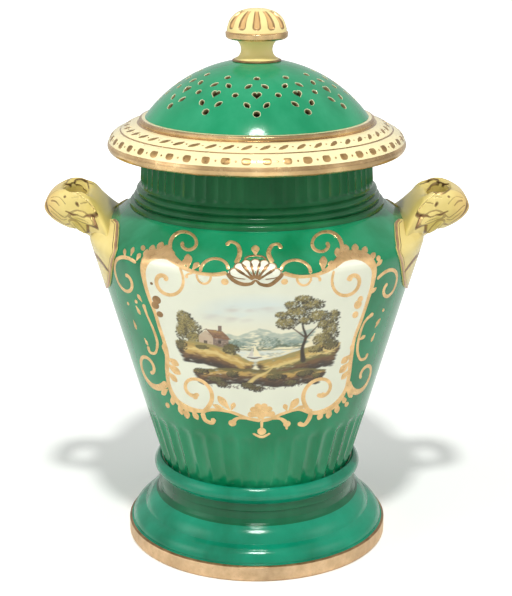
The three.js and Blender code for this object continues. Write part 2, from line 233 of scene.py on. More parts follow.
def through(points, spacing=0.8, closed=False):
    """A smooth line through the points, resampled evenly along its first two values."""
    p = np.array(points, float)
    if closed:
        p = np.concatenate([p[-3:], p, p[:3]])
    knots = run(p[:, :2], 0.5)
    slope = np.gradient(p, knots, axis=0)
    first, last = (knots[3], knots[-3]) if closed else (knots[0], knots[-1])
    fine = np.linspace(first, last, len(p) * 24)
    i = np.clip(np.searchsorted(knots, fine, side="right") - 1, 0, len(p) - 2)
    h = (knots[i + 1] - knots[i])[:, None]
    t = (fine[:, None] - knots[i][:, None]) / h
    line = (
        (2 * t**3 - 3 * t**2 + 1) * p[i]
        + (t**3 - 2 * t**2 + t) * h * slope[i]
        + (3 * t**2 - 2 * t**3) * p[i + 1]
        + (t**3 - t**2) * h * slope[i + 1]
    )
    arc = run(line[:, :2])
    even = np.linspace(0, arc[-1], max(3, math.ceil(arc[-1] / spacing) + 1))
    result = stacked(*(np.interp(even, arc, value) for value in line.T))
    return result[:-1] if closed else result


class Outline:
    """A turned outline: corners of radius and height, drawn anticlockwise with the radius to the right."""

    def __init__(self, r, z):
        self.corners = [(r, z, 0.0)]
        self.finishes = [None]
        self.finish = "glaze"

    def use(self, finish):
        self.finish = finish
        return self

    def to(self, r, z, rounding=0.0):
        self.corners.append((r, z, rounding))
        self.finishes.append(self.finish)
        return self

    def bow(self, r, z, rise, steps=10):
        """A stroke that bulges by rise to its right."""
        r0, z0, _ = self.corners[-1]
        length = math.hypot(r - r0, z - z0)
        for i in range(1, steps + 1):
            t = i / steps
            bulge = 4 * t * (1 - t) * rise / length
            self.to(mix(r0, r, t) + bulge * (z - z0), mix(z0, z, t) - bulge * (r - r0))
        return self

    def points(self, spacing=1.5, round_steps=7, ring=True):
        """Rows of radius and height, and the finish of the stroke that leaves each row."""
        places = [np.array(corner[:2], float) for corner in self.corners]
        rows, finishes = places[:1], []

        def reach(point, finish):
            start = rows[-1]
            count = max(1, math.ceil(np.linalg.norm(point - start) / spacing))
            rows.extend([mix(start, point, i / count) for i in range(1, count + 1)])
            finishes.extend([finish] * count)

        for i in range(1, len(places)):
            here, rounding, finish = places[i], self.corners[i][2], self.finishes[i]
            if not rounding or i == len(places) - 1:
                reach(here, finish)
                continue
            back, ahead = places[i - 1] - here, places[i + 1] - here
            room = 0.49 * min(np.linalg.norm(back), np.linalg.norm(ahead))
            back, ahead = unit(back), unit(ahead)
            half = math.acos(np.clip(back @ ahead, -1, 1)) / 2
            trim = min(rounding / math.tan(half), room)
            start, end = here + back * trim, here + ahead * trim
            reach(start, finish)
            for k in range(1, round_steps + 1):
                t = k / round_steps
                rows.append((1 - t) ** 2 * start + 2 * t * (1 - t) * here + t * t * end)
                finishes.append(finish if t <= 0.5 else self.finishes[i + 1])
        if ring:
            reach(rows[0], self.finish)
            rows.pop()
        return np.array(rows), finishes


# Surfaces that carry gilding and paint


class Surface:
    """Places points on a turned outline, by azimuth, distance along it from start, and lift off it."""

    def __init__(self, rows, start):
        arc = run(rows)
        self.rows = rows
        self.arc = arc - arc[np.linalg.norm(rows - np.array(start), axis=1).argmin()]
        self.tangent = unit(np.gradient(rows, arc, axis=0))

    def radius(self, s):
        return np.interp(s, self.arc, self.rows[:, 0])

    def place(self, azimuth, s, lift):
        along_r, along_z = (np.interp(s, self.arc, value) for value in self.tangent.T)
        z = np.interp(s, self.arc, self.rows[:, 1]) - lift * along_r
        return around(self.radius(s) + lift * along_z, azimuth, z)


def vessel_outline():
    return (
        Outline(BASE_RADIUS, VESSEL_BASE)
        .to(CORNER_RADIUS, CORNER_HEIGHT, CORNER_ROUNDING)
        .to(SEAT_RADIUS, SEAT_HEIGHT)
    )


class Wall:
    """The vessel's outside, unrolled: u runs across it from a centre azimuth, s along it from its corner."""

    def __init__(self, azimuth=0.0):
        rows, _ = vessel_outline().points(1.0, 12, ring=False)
        self.surface = Surface(rows, (CORNER_RADIUS, CORNER_HEIGHT))
        self.azimuth = azimuth

    def place(self, u, s, lift):
        trim = 5.05  # where the rounding of the corner starts, along the wall
        shorter = 0.45  # what the rounding takes off on each side
        far = 500
        s = np.sign(s) * np.interp(np.abs(s), [0, trim, far], [0, trim - shorter, far - shorter])
        return self.surface.place(self.azimuth + np.asarray(u) / self.surface.radius(s), s, lift)


class Raised:
    """A surface that lies at a height above another."""

    def __init__(self, surface, height):
        self.surface, self.height = surface, height

    def place(self, u, s, lift):
        return self.surface.place(u, s, lift + self.height)


# Meshes


def linked(name, data):
    """A new object in the scene."""
    thing = bpy.data.objects.new(name, data)
    bpy.context.scene.collection.objects.link(thing)
    return thing


def smooth(mesh, crease):
    """Smooth shading, with edges over crease degrees left sharp."""
    mesh.shade_smooth()
    mesh.set_sharp_from_angle(angle=math.radians(crease))


def welded(mesh):
    """Joins the points that meet at a pole."""
    shape = bmesh.new()
    shape.from_mesh(mesh)
    bmesh.ops.remove_doubles(shape, verts=shape.verts, dist=1e-6)
    bmesh.ops.dissolve_degenerate(shape, edges=shape.edges, dist=1e-7)
    shape.to_mesh(mesh)
    shape.free()


class Mesh:
    """Collects vertices in mm and faces, each with a material's place in the list."""

    def __init__(self):
        self.vertices, self.faces, self.slots = [], [], []
        self.count = 0

    def join(self, faces, slot=0, first=0):
        """Adds faces between vertices that are there, numbered from first."""
        self.faces.extend(tuple(int(i) + first for i in face) for face in faces)
        self.slots.extend(np.broadcast_to(slot, len(faces)).tolist())

    def add(self, vertices, faces=(), slot=0):
        """Adds vertices, with faces that count from the first of them; returns its number."""
        first = self.count
        self.vertices.append(np.reshape(vertices, (-1, 3)))
        self.count += len(self.vertices[-1])
        self.join(faces, slot, first)
        return first

    def data(self, name):
        mesh = bpy.data.meshes.new(name)
        mesh.from_pydata((np.concatenate(self.vertices) * MM).tolist(), [], self.faces)
        return mesh

    def piece(self, name, materials, body, replaces=None, slot=None, crease=40, weld=False, colours=None):
        mesh = self.data(name)
        for material in materials:
            mesh.materials.append(material)
        mesh.polygons.foreach_set("material_index", self.slots)
        for attribute, values in (colours or {}).items():
            layer = mesh.color_attributes.new(attribute, "FLOAT_COLOR", "POINT")
            layer.data.foreach_set("color", np.asarray(values, np.float32).ravel())
        if weld:
            welded(mesh)
        mesh.update()
        smooth(mesh, crease)
        piece = linked(name, mesh)
        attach(piece, body)
        if replaces:
            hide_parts(replaces)
        return piece


def grid_faces(rows, columns, wrap_rows=False, wrap_columns=True):
    """Quads of a grid, facing out where rows run up the outside and columns run towards +X."""
    row = np.arange(rows if wrap_rows else rows - 1)
    column = np.arange(columns if wrap_columns else columns - 1)
    i, j = np.meshgrid(row, column, indexing="ij")
    up, on = (i + 1) % rows, (j + 1) % columns
    return stacked(i * columns + j, i * columns + on, up * columns + on, up * columns + j).reshape(-1, 4)


def turned(outline, steps, finishes, cut=None, ring=True, spacing=1.5):
    """A turned mesh; cut(azimuth, height) is what a pattern takes off the radius."""
    rows, strokes = outline.points(spacing, ring=ring)
    azimuth = turns(steps)
    r, z = rows[:, :1], rows[:, 1:]
    if cut:
        outside = np.concatenate([[True], np.diff(rows[:, 1]) > 1e-6])[:, None]
        r = r - np.where(outside, cut(azimuth, z), 0)
    mesh = Mesh()
    slots = np.repeat([finishes.index(name) for name in strokes], steps)
    mesh.add(around(r, azimuth, z), grid_faces(len(rows), steps, wrap_rows=ring), slots)
    return mesh


def flutes(azimuth, count, past, depth):
    """Depth of rounded flutes; past is how far a place lies into a flute's round end."""
    across = 2 * ((azimuth * count / TURN) % 1) - 1
    return depth * np.maximum(0, 1 - across**2 - past**2) ** 1.35


def ribbon(mesh, surface, points, rise=GILT_RISE, slot=0):
    """A domed stroke on a surface through points of u, s and width, with round ends."""
    line = through(points, 0.7)
    tangent = unit(np.gradient(line[:, :2], axis=0))
    arc = run(line[:, :2])
    half = line[:, 2] / 2
    end = np.minimum(arc, arc[-1] - arc) / np.maximum(half, 1e-6)
    half = half * np.sqrt(np.clip(1 - (1 - np.clip(end, 0, 1)) ** 2, 0.002, 1))
    across = np.array([-1, -0.9, -0.6, -0.2, 0.2, 0.6, 0.9, 1])
    lift = rise * np.minimum(1, 1.4 * np.sqrt(1 - across**2)) + np.where(np.abs(across) == 1, SUNK, 0)
    u = line[:, :1] - tangent[:, 1:] * half[:, None] * across
    s = line[:, 1:2] + tangent[:, :1] * half[:, None] * across
    rows, columns = u.shape
    ends = [range(columns), range((rows - 1) * columns, rows * columns)[::-1]]
    mesh.add(surface.place(u, s, lift), [*grid_faces(rows, columns)[:, ::-1], *ends], slot)


def patch(mesh, surface, outline, rise=GILT_RISE):
    """A domed patch on a surface; the outline is seen whole from its middle."""
    rim = through(outline, 0.5, closed=True)[:, :2]
    if clockwise(rim):
        rim = rim[::-1]
    middle, count = rim.mean(0), len(rim)
    shares = np.array([1, 0.97, 0.85, 0.55])
    lifts = np.array([SUNK, rise * 0.55, rise * 0.95, rise])
    rings = middle + (rim - middle) * shares[:, None, None]
    vertices = surface.place(rings[..., 0], rings[..., 1], lifts[:, None]).reshape(-1, 3)
    top = [(a, b, len(vertices)) for a, b in loop(count, len(vertices) - count)]
    faces = [*grid_faces(len(shares), count), *top, range(count)[::-1]]
    mesh.add(np.concatenate([vertices, [surface.place(*middle, rise)]]), faces)


def plate(surface, outline, rise, edge=0.0):
    """A closed plate laid on a surface inside an outline of u and s, with its rim rounded over edge."""
    mesh = Mesh()
    spacing = 2.0
    rim = through(outline, 1.2, closed=True)[:, :2]
    lowest, highest = rim.min(0), rim.max(0)
    u = np.arange(lowest[0], highest[0], spacing)
    s = np.arange(lowest[1], highest[1], spacing / 1.6)[:, None]
    rings = [inset(rim, share * edge) for share in (0.3, 0.7, 1.2) if edge]
    grid = np.concatenate([stacked(u, s).reshape(-1, 2), *rings])
    grid = grid[inside(grid, rim)]
    grid = grid[distance(grid, rim, closed=True) > (0.2 * edge or 0.4 * spacing)]
    flat, triangles, _ = filled(np.concatenate([rim, grid]), loop(len(rim)))
    triangles = triangles[inside(flat[triangles].mean(1), rim)]
    over = np.clip(distance(flat, rim, closed=True) / edge, 0, 1) if edge else 1.0
    mesh.add(surface.place(*flat.T, rise * np.sqrt(1 - (1 - over) ** 2)), triangles)
    below = mesh.add(surface.place(*flat.T, SUNK), triangles[:, ::-1])
    edges = {(t[k - 1], t[k]) for t in triangles.tolist() for k in range(3)}
    border = [(a, b) for a, b in sorted(edges) if (b, a) not in edges]
    mesh.join([(b, a, a + below, b + below) for a, b in border])
    return mesh


# Outlines of brush marks


def oval(u, s, length, width):
    return [(u + length / 2 * math.cos(a), s + width / 2 * math.sin(a)) for a in turns(10)]


# Forms of blades: shares of the length and of the width
LEAF_FORM = [(0, 0), (0.3, 0.55), (0.65, 1), (0.88, 0.6), (1, 0)]
PETAL_FORM = [(0, 0.1), (0.35, 0.45), (0.72, 1), (0.93, 0.8), (1, 0)]


def blade(base, tip, width, form=LEAF_FORM):
    """Outline of a leaf or petal from its base to its tip."""
    base, tip = np.array(base, float), np.array(tip, float)
    along = tip - base
    side = np.array((-along[1], along[0])) / np.linalg.norm(along) * width / 2
    left = [base + along * t + side * w for t, w in form]
    return left + [base + along * t - side * w for t, w in reversed(form) if w]


def slanting_mark(u, s, length, width, lean):
    """Outline of a brush mark with a full middle, turned by lean degrees."""
    c, d = math.cos(math.radians(lean)), math.sin(math.radians(lean))
    shape = [(-0.5, -0.25), (-0.1, -0.5), (0.35, -0.2), (0.5, 0.4), (0.2, 0.5), (-0.25, 0.2)]
    scaled = [(x * length, y * width) for x, y in shape]
    return [(u + x * c - y * d, s + x * d + y * c) for x, y in scaled]


# Materials


def srgb(r, g, b):
    """An on-screen colour of 0 to 255 as linear light."""
    def linear(c):
        c /= 255
        return c / 12.92 if c <= 0.04045 else ((c + 0.055) / 1.055) ** 2.4
    return linear(r), linear(g), linear(b)


class Nodes:
    """A node tree with short calls."""

    def __init__(self, owner):
        owner.use_nodes = True
        self.tree = owner.node_tree

    def set(self, node, socket, value):
        """Gives a socket a number, a colour or a node's output."""
        target = node.inputs[socket]
        if isinstance(value, bpy.types.NodeSocket):
            self.tree.links.new(value, target)
        else:
            target.default_value = (*value, 1) if target.type == "RGBA" else value

    def node(self, kind, sockets=(), **settings):
        node = self.tree.nodes.new(kind)
        for key, value in settings.items():
            setattr(node, key, value)
        for socket, value in dict(sockets).items():
            self.set(node, socket, value)
        return node

    def range(self, value, a, b, low=0.0, high=1.0):
        sockets = {"Value": value, "From Min": a, "From Max": b, "To Min": low, "To Max": high}
        return self.node("ShaderNodeMapRange", sockets).outputs["Result"]


class Finish(Nodes):
    """A Principled material with short calls for the nodes that feed it."""

    def __init__(self, name, **sockets):
        self.material = bpy.data.materials.new(name)
        super().__init__(self.material)
        self.shader = self.tree.nodes["Principled BSDF"]
        self.place = self.node("ShaderNodeTexCoord").outputs["Object"]
        self.feed(**sockets)

    def feed(self, **sockets):
        for socket, value in sockets.items():
            self.set(self.shader, socket.replace("_", " "), value)

    def noise(self, scale, detail, roughness=0.5, stretch=None):
        place = self.place
        if stretch:
            place = self.node("ShaderNodeMapping", {"Vector": place, "Scale": stretch}).outputs["Vector"]
        sockets = {"Vector": place, "Scale": scale, "Detail": detail, "Roughness": roughness}
        return self.node("ShaderNodeTexNoise", sockets).outputs["Fac"]

    def patches(self, scale, detail, a, b, low=0.0, high=1.0, **noise):
        """Noise whose values from a to b run from low to high."""
        return self.range(self.noise(scale, detail, **noise), a, b, low, high)

    def blend(self, share, a, b, **settings):
        """Mixes two colours or outputs by an output or a number."""
        return self.node("ShaderNodeMix", {0: share, 6: a, 7: b}, data_type="RGBA", **settings).outputs[2]

    def attribute(self, name):
        return self.node("ShaderNodeAttribute", attribute_name=name).outputs["Color"]

    def bump(self, scale, strength, depth):
        sockets = {"Strength": strength, "Distance": depth, "Height": self.noise(scale, 2)}
        self.feed(Normal=self.node("ShaderNodeBump", sockets).outputs["Normal"])

    def colour(self, output):
        self.feed(Base_Color=output)
        return self.material


def enamel(name, middle, light, dark, shine=0.3):
    """Enamel ground under a glossy glaze: broad clouds, brushed streaks and fine mottling."""
    finish = Finish(name, Roughness=0.16, IOR=1.5, Coat_Weight=0.2, Specular_IOR_Level=shine)
    colour = finish.blend(finish.patches(22, 2, 0.32, 0.68), dark, middle)
    streaks = finish.patches(60, 3, 0.35, 0.7, 0, 0.45, stretch=(1, 1, 0.25))
    colour = finish.blend(streaks, colour, light)
    colour = finish.blend(finish.patches(900, 2, 0.3, 0.75, 0, 0.12), colour, dark)
    finish.bump(130, 0.12, 0.0004)
    return finish.colour(colour)


def gold(name, bright, dull, roughness=0.3, brown=0.0, stretch=24, worn=False):
    """Burnished gilding, brighter and duller in patches, with darker brown in long stretches that paint dark
    reflections, rubbed where it is worn.
    """
    finish = Finish(name, Metallic=0.9, IOR=1.5)
    colour = finish.blend(finish.patches(140, 4, 0.35, 0.7, roughness=0.6), dull, bright)
    # brown: how far the long stretches of painted dark reflections darken the gold
    if brown:
        dark_reflections = finish.patches(stretch, 2, 0.42, 0.62, 0, brown, roughness=0.4)
        colour = finish.blend(dark_reflections, colour, tuple(c * 0.42 for c in dull))
    if worn:
        rubbed = finish.patches(420, 5, 0.62, 0.71, roughness=0.7, stretch=(1, 1, 3))
        colour = finish.blend(rubbed, colour, srgb(150, 120, 84))
        finish.feed(Metallic=finish.range(rubbed, 0, 1, 0.9, 0.1))
    finish.feed(Roughness=finish.patches(300, 3, 0.3, 0.7, roughness - 0.06, roughness + 0.1))
    finish.bump(260, 0.08, 0.0002)
    return finish.colour(colour)


def gilt_glaze(name, plain, shade, bright, dull):
    """A glaze with gilding where the attribute called gilt is red; green in it tints the ground, and blue
    paints shade on it in a deeper yellow.
    """
    finish = Finish(name, Specular_IOR_Level=0.1)
    share = finish.node("ShaderNodeSeparateColor", {"Color": finish.attribute("gilt")}).outputs
    ground = finish.blend(finish.patches(45, 3, 0.3, 0.7), plain, shade)
    ground = finish.blend(share["Green"], ground, srgb(206, 162, 108))
    # painted shade: a deeper yellow where the attribute's blue is
    ground = finish.blend(share["Blue"], ground, srgb(204, 184, 100))
    mask = finish.range(share["Red"], 0.12, 0.92)
    metal = finish.blend(finish.patches(200, 3, 0.3, 0.7), dull, bright)
    finish.feed(Metallic=finish.range(mask, 0, 1, 0, 0.85), Roughness=finish.range(mask, 0, 1, 0.17, 0.36))
    finish.bump(160, 0.1, 0.0004)
    return finish.colour(finish.blend(mask, ground, metal))


GLOSS = {"Roughness": 0.16, "IOR": 1.5, "Coat_Weight": 0.3, "Coat_Roughness": 0.08}


def white_glaze(name, tint, spots=0.0):
    finish = Finish(name, **GLOSS)
    colour = finish.blend(finish.patches(35, 3, 0.3, 0.7), tint, tuple(c * 0.93 for c in tint))
    if spots:
        colour = finish.blend(finish.patches(700, 2, 0.74, 0.78, 0, spots), colour, srgb(90, 80, 60))
    finish.bump(130, 0.1, 0.0004)
    return finish.colour(colour)


def painted(name):
    """Enamel painting under the reserve's glaze, its colours in the attribute called paint."""
    finish = Finish(name, **GLOSS)
    finish.bump(130, 0.1, 0.0004)
    tone = finish.patches(35, 3, 0.3, 0.7)
    return finish.colour(finish.blend(tone, finish.attribute("paint"), (0.93,) * 3, blend_type="MULTIPLY"))


RESERVE_TINT = srgb(232, 233, 212)
GREEN = enamel("green_enamel", srgb(10, 132, 86), srgb(46, 156, 112), srgb(2, 110, 66))
FOOT_GREEN = enamel("foot_enamel", srgb(0, 136, 102), srgb(28, 158, 124), srgb(0, 102, 72))
# a darker green for the waist under the collar: painted shade
WAIST_SHADE_GREEN = enamel("waist_shade_enamel", srgb(0, 92, 56), srgb(18, 112, 74), srgb(0, 70, 40))
DOME_GREEN = enamel("dome_enamel", srgb(22, 146, 98), srgb(60, 166, 122), srgb(10, 128, 84))
# darker than the body's green: painted shade under the cover's rim
NECK_SHADE_GREEN = enamel("neck_shade_enamel", srgb(16, 98, 54), srgb(38, 118, 70), srgb(6, 78, 40), shine=0.2)
WHITE = white_glaze("white_glaze", RESERVE_TINT)
PAINTED = painted("landscape_enamel")
INSIDE = white_glaze("inside_glaze", srgb(226, 224, 204), spots=0.5)
BISCUIT = white_glaze("foot_biscuit", srgb(216, 208, 184), spots=0.7)
CREAM = white_glaze("hole_edge", srgb(204, 212, 170))
# hole walls darker than the white inside: painted shade in the holes, with specks
HOLE_WALL_SHADE = white_glaze("hole_wall_shade", srgb(134, 120, 84), spots=0.6)
YELLOW = white_glaze("primrose_glaze", srgb(248, 233, 178))
GOLD = gold("gilding", (0.92, 0.62, 0.31), (0.66, 0.42, 0.19))
EDGE_TONES = (0.97, 0.69, 0.36), (0.80, 0.52, 0.25)
# the rim's edge and the knob's band carry painted dark reflections in long brown stretches
EDGE_GOLD = gold("edge_gilding", *EDGE_TONES, 0.2, brown=0.75)
KNOB_GOLD = gold("knob_gilding", *EDGE_TONES, 0.2, brown=0.8, stretch=70)
DARK_GOLD = gold("dark_gilding", (0.42, 0.25, 0.12), (0.22, 0.13, 0.06), 0.34)
STROKE_GOLD = gold("stroke_gilding", (0.62, 0.40, 0.17), (0.36, 0.21, 0.08))
ROSE_GOLD = gold("rose_gilding", (0.66, 0.41, 0.26), (0.48, 0.28, 0.16), 0.36)
WORN_GOLD = gold("worn_gilding", (0.80, 0.57, 0.35), (0.63, 0.43, 0.25), 0.5, brown=0.3, worn=True)
LUG_FINISH = gilt_glaze(
    "handle_glaze", srgb(231, 212, 142), srgb(216, 194, 118), (0.28, 0.17, 0.08), (0.16, 0.09, 0.04)
)
KNOB_FINISH = gilt_glaze(
    "knob_glaze", srgb(243, 226, 166), srgb(234, 214, 146), (0.36, 0.20, 0.10), (0.20, 0.11, 0.05)
)


# Socle, vessel and neck


def socle():
    toe, ring, shelf = 82.8, 74.8, 20.4
    bead = 65.2  # radius where the rolled collar starts
    inner = WAIST_RADIUS - SOCLE_WALL
    outline = (
        Outline(FOOT_RADIUS - FOOT_RING, 0)
        .use("biscuit").to(FOOT_RADIUS - 1, 0, 0.5)
        .use("gilt").to(FOOT_RADIUS - 0.1, 1.2, 0.8).to(FOOT_RADIUS - 0.1, FOOT_BAND - 0.6, 0.8)
        .use("dark").to(FOOT_RADIUS - 1.6, FOOT_BAND + 0.1, 0.4)
        .use("glaze").to(toe, FOOT_BAND + 0.2, 0.4).to(toe + 0.1, FOOT_BAND + 1.5, 0.6)
        .bow(ring + 0.7, shelf - 0.7, 1.5)
        .to(ring - 0.3, shelf - 0.2, 0.2)
        .bow(WAIST_RADIUS + 2.6, 29.4, 1.0)
        # from here up to the collar the waist takes the darker green: painted shade under the rolled collar
        .use("deep").to(WAIST_RADIUS + 1.2, 30.4, 0.6)
        .to(WAIST_RADIUS - 0.3, 32.7, 1.2)
        .to(WAIST_RADIUS - 0.2, 38.2, 0.5).to(WAIST_RADIUS + 0.5, 38.5, 0.3)
        .to(WAIST_RADIUS + 0.4, 43.6, 0.6)
        .use("glaze").bow(bead, SOCLE_TOP - 0.4, 2.8, 16)
        .to(bead - 0.8, SOCLE_TOP, 0.4).to(bead - 2, SOCLE_TOP - 0.3, 0.3)
        .to(bead - 2.2, VESSEL_BASE - 0.1)
        .use("biscuit").to(inner - 3, VESSEL_BASE - 0.1)
        .to(inner, 40.8, 3).to(inner, 30.4, 3)
        .to(67.6, 17.4, 3).to(FOOT_RADIUS - FOOT_RING - 1, 2.5, 2)
    )
    finishes = {
        "glaze": FOOT_GREEN, "deep": WAIST_SHADE_GREEN, "gilt": WORN_GOLD, "dark": DARK_GOLD, "biscuit": BISCUIT,
    }
    mesh = turned(outline, 240, list(finishes))
    mesh.piece("socle_glazed", finishes.values(), "jar", "socle", "green_glaze")


def vessel():
    slope = (CORNER_RADIUS - BASE_RADIUS) / (CORNER_HEIGHT - VESSEL_BASE)
    flute_top = VESSEL_BASE + FLUTE_TOP
    end = math.pi * (BASE_RADIUS + slope * FLUTE_TOP) / FLUTES

    def cut(azimuth, z):
        past = np.maximum(0, (z - flute_top) / end + 1) + np.maximum(0, (SOCLE_TOP + 1 - z) / 3)
        return flutes(azimuth, FLUTES, past, FLUTE_DEPTH * 1.15)

    thick = VESSEL_WALL * math.hypot(1, slope)
    floor = VESSEL_BASE + FLOOR
    floor_radius = BASE_RADIUS - thick + slope * FLOOR
    outline = (
        Outline(0, VESSEL_BASE).use("biscuit").to(BASE_RADIUS - 4, VESSEL_BASE)
        .use("glaze").to(BASE_RADIUS, VESSEL_BASE)
        .to(CORNER_RADIUS, CORNER_HEIGHT, CORNER_ROUNDING)
        .to(SEAT_RADIUS, SEAT_HEIGHT)
        .to(SEAT_RADIUS - 3, SEAT_HEIGHT)
        .use("inside").to(SEAT_RADIUS - 10, SEAT_HEIGHT)
        .to(CORNER_RADIUS - thick + 1.4, CORNER_HEIGHT - 2.6, 6)
        .to(floor_radius + slope * 4, floor + 4, 4)
        .to(floor_radius - 6, floor, 4)
        .to(0, floor)
    )
    mesh = turned(outline, FLUTES * 10, ["glaze", "inside", "biscuit"], cut, ring=False, spacing=2.5)
    mesh.piece("vessel", [GREEN, INSIDE, BISCUIT], "jar", "jar_body", "green_glaze", weld=True)


def neck():
    """Three ridges, then the fluted neck up to the mouth."""
    radius, height = SEAT_RADIUS - 0.8, NECK_BASE
    outline = Outline(radius, height)
    for rise, narrower in ((3.5, 3.2), (4.1, 1.9), (4.4, 1.7)):
        radius -= narrower
        height += rise
        outline.bow(radius, height, 1.3)
    outline.to(radius - 0.3, height + 0.3, 0.2)
    outline.to(MOUTH_RADIUS, NECK_TOP - 1.5, 0.8).to(MOUTH_RADIUS - 1, NECK_TOP, 0.8)
    outline.use("inside").to(MOUTH_BORE + 0.8, NECK_TOP, 0.8).to(MOUTH_BORE, NECK_TOP - 1, 0.8)
    outline.to(MOUTH_BORE, NECK_BASE)
    foot = NECK_BASE + NECK_FLUTE_FOOT
    end = 1.6

    def cut(azimuth, z):
        past = np.clip((foot + end - z) / end, 0, 1) + np.maximum(0, (z - NECK_TOP + 4) / end)
        return flutes(azimuth, NECK_FLUTES, past, NECK_FLUTE_DEPTH)

    # the neck and its ridges take the darker green of painted shade
    mesh = turned(outline, NECK_FLUTES * 8, ["glaze", "inside"], cut, spacing=0.9)
    mesh.piece("neck_ridged", [NECK_SHADE_GREEN, INSIDE], "jar", "neck_collar", "green_glaze")


# Cover's rim

EDGE_TOP = COVER_SEAT - 0.4
CREASE = (85.2, 270.2)
LEDGE = 73.5
LEDGE_FOOT = 275.2


def rim_outline():
    bore = FLANGE_RADIUS - FLANGE_WALL
    return (
        Outline(MOUTH_RADIUS + 1.6, COVER_SEAT)
        .use("inside").to(MOUTH_RADIUS + 3, COVER_SEAT + 3, 1)
        .to(CREASE[0] - 2, CREASE[1] - RIM_WALL - 1.2, 2)
        .to(RIM_RADIUS - RIM_WALL + 1.2, COVER_SEAT - RIM_DROP, 1)
        .to(RIM_RADIUS - 1.8, COVER_SEAT - RIM_DROP, 0.6)
        .use("gilt").bow(RIM_RADIUS - 0.4, EDGE_TOP, 0.9).to(RIM_RADIUS - 0.9, EDGE_TOP + 0.9)
        .use("glaze").bow(CREASE[0] + 0.4, CREASE[1] - 0.1, 1.35, 14)
        .use("gilt").to(CREASE[0], CREASE[1] + 0.1, 0.2).to(CREASE[0] - 0.5, CREASE[1] + 0.5, 0.2)
        .use("glaze").bow(LEDGE + 1.3, LEDGE_FOOT - 0.45, 0.9, 12)
        .use("gilt").to(LEDGE + 0.3, LEDGE_FOOT)
        .to(LEDGE, LEDGE_FOOT + 0.2, 0.3).bow(LEDGE - 0.5, RIM_TOP - 0.3, 0.45, 6)
        .to(LEDGE - 1.7, RIM_TOP - 0.05, 0.4).use("glaze").to(LEDGE - 2, RIM_TOP)
        .to(DOME_RADIUS, RIM_TOP)
        .use("inside").to(DOME_RADIUS - DOME_WALL - 0.6, RIM_TOP)
        .to(bore, RIM_TOP - 8, 3).to(bore, FLANGE_FOOT, 0.8)
        .to(FLANGE_RADIUS - 0.4, FLANGE_FOOT, 0.8).to(FLANGE_RADIUS, FLANGE_FOOT + 2, 0.6)
        .to(FLANGE_RADIUS, COVER_SEAT)
    )


def cover_rim():
    mesh = turned(rim_outline(), 288, ["glaze", "gilt", "inside"], spacing=1.0)
    mesh.piece("rim_glazed", [YELLOW, EDGE_GOLD, INSIDE], "cover", "cover_rim", "yellow_glaze")


class Band:
    """The rim's outside as a surface: u is mm round from an azimuth at a radius, s runs up from the edge."""

    def __init__(self):
        self.surface = Surface(rim_outline().points(1.0)[0], (RIM_RADIUS - 0.4, EDGE_TOP))

    def place(self, u, s, lift):
        return self.surface.place(self.azimuth + np.asarray(u) / self.radius, s, lift)


def rim_ornament():
    """Two rows of gilt marks, each with a dot between."""
    repeats = 48
    outer, inner = 4.6, 16.2  # middles of the two rows, up from the edge
    outer_radius, inner_radius = 90, 79
    lift = 0.1
    blot = [(-0.5, -0.25), (-0.3, -0.5), (0.3, -0.5), (0.5, -0.2), (0.42, 0.42), (0.1, 0.5), (-0.42, 0.45)]
    band = Band()
    mesh = Mesh()
    random.seed(4)
    for azimuth in turns(repeats) + TURN / repeats / 2:
        band.azimuth, band.radius = azimuth, outer_radius
        width = 5.2 + random.uniform(-0.4, 0.4)
        tall = 4.3 + random.uniform(-0.3, 0.2)
        patch(mesh, band, [(x * width, outer + y * tall) for x, y in blot], lift)
        patch(mesh, band, oval(5.9, outer - 0.2, 1.3, 1.5), lift)
        band.radius = inner_radius
        patch(mesh, band, slanting_mark(-0.4, inner, 7.4, 3.1, 20 + random.uniform(-3, 3)), lift)
        patch(mesh, band, oval(5.0, inner + 0.2, 1.3, 1.1), lift)
    mesh.piece("rim_gilt_strokes", [STROKE_GOLD], "cover", slot="yellow_glaze")


# Pierced dome

PITCH = 30  # degrees from one cluster of holes to the next
DOME_RISE = DOME_TOP - DOME_BASE
DOME_DROP = (DOME_RADIUS**2 - CROWN_RADIUS**2 - DOME_RISE**2) / (2 * DOME_RISE)  # its centre, below its foot
DOME_SPHERE = math.hypot(DOME_RADIUS, DOME_DROP)
DOME_FOOT = math.acos(DOME_DROP / DOME_SPHERE)  # angle from the pole to the foot


def circle_hole(radius):
    return [(radius * math.cos(a), radius * math.sin(a)) for a in turns(20)]


def leaf_hole(length=4.7, width=2.5):
    return [
        (side * width / 2 * math.sin(math.pi * t) ** 0.8, side * length * (t - 0.5))
        for side in (1, -1) for t in np.arange(10) / 10
    ]


def heart_hole(width=4.9, height=5.2):
    points = []
    for a in turns(28):
        y = 13 * math.cos(a) - 5 * math.cos(2 * a) - 2 * math.cos(3 * a) - math.cos(4 * a)
        points.append((math.sin(a) ** 3 / 2 * width, (y + 2.5) / 29 * height))
    return points


def piercing():
    """One cluster: outline, share of the dome's radius, azimuth and lean in degrees."""
    return [
        (circle_hole(1.85), 0.865, 0, 0),
        (leaf_hole(), 0.795, PITCH * 0.2, -40),
        (leaf_hole(), 0.795, -PITCH * 0.2, 40),
        (heart_hole(), 0.705, 0, 0),
        (leaf_hole(), 0.607, PITCH * 0.223, 40),
        (leaf_hole(), 0.607, -PITCH * 0.223, -40),
        (circle_hole(1.45), 0.5, 0, 0),
        (circle_hole(1.45), 0.705, PITCH / 2, 0),
    ]


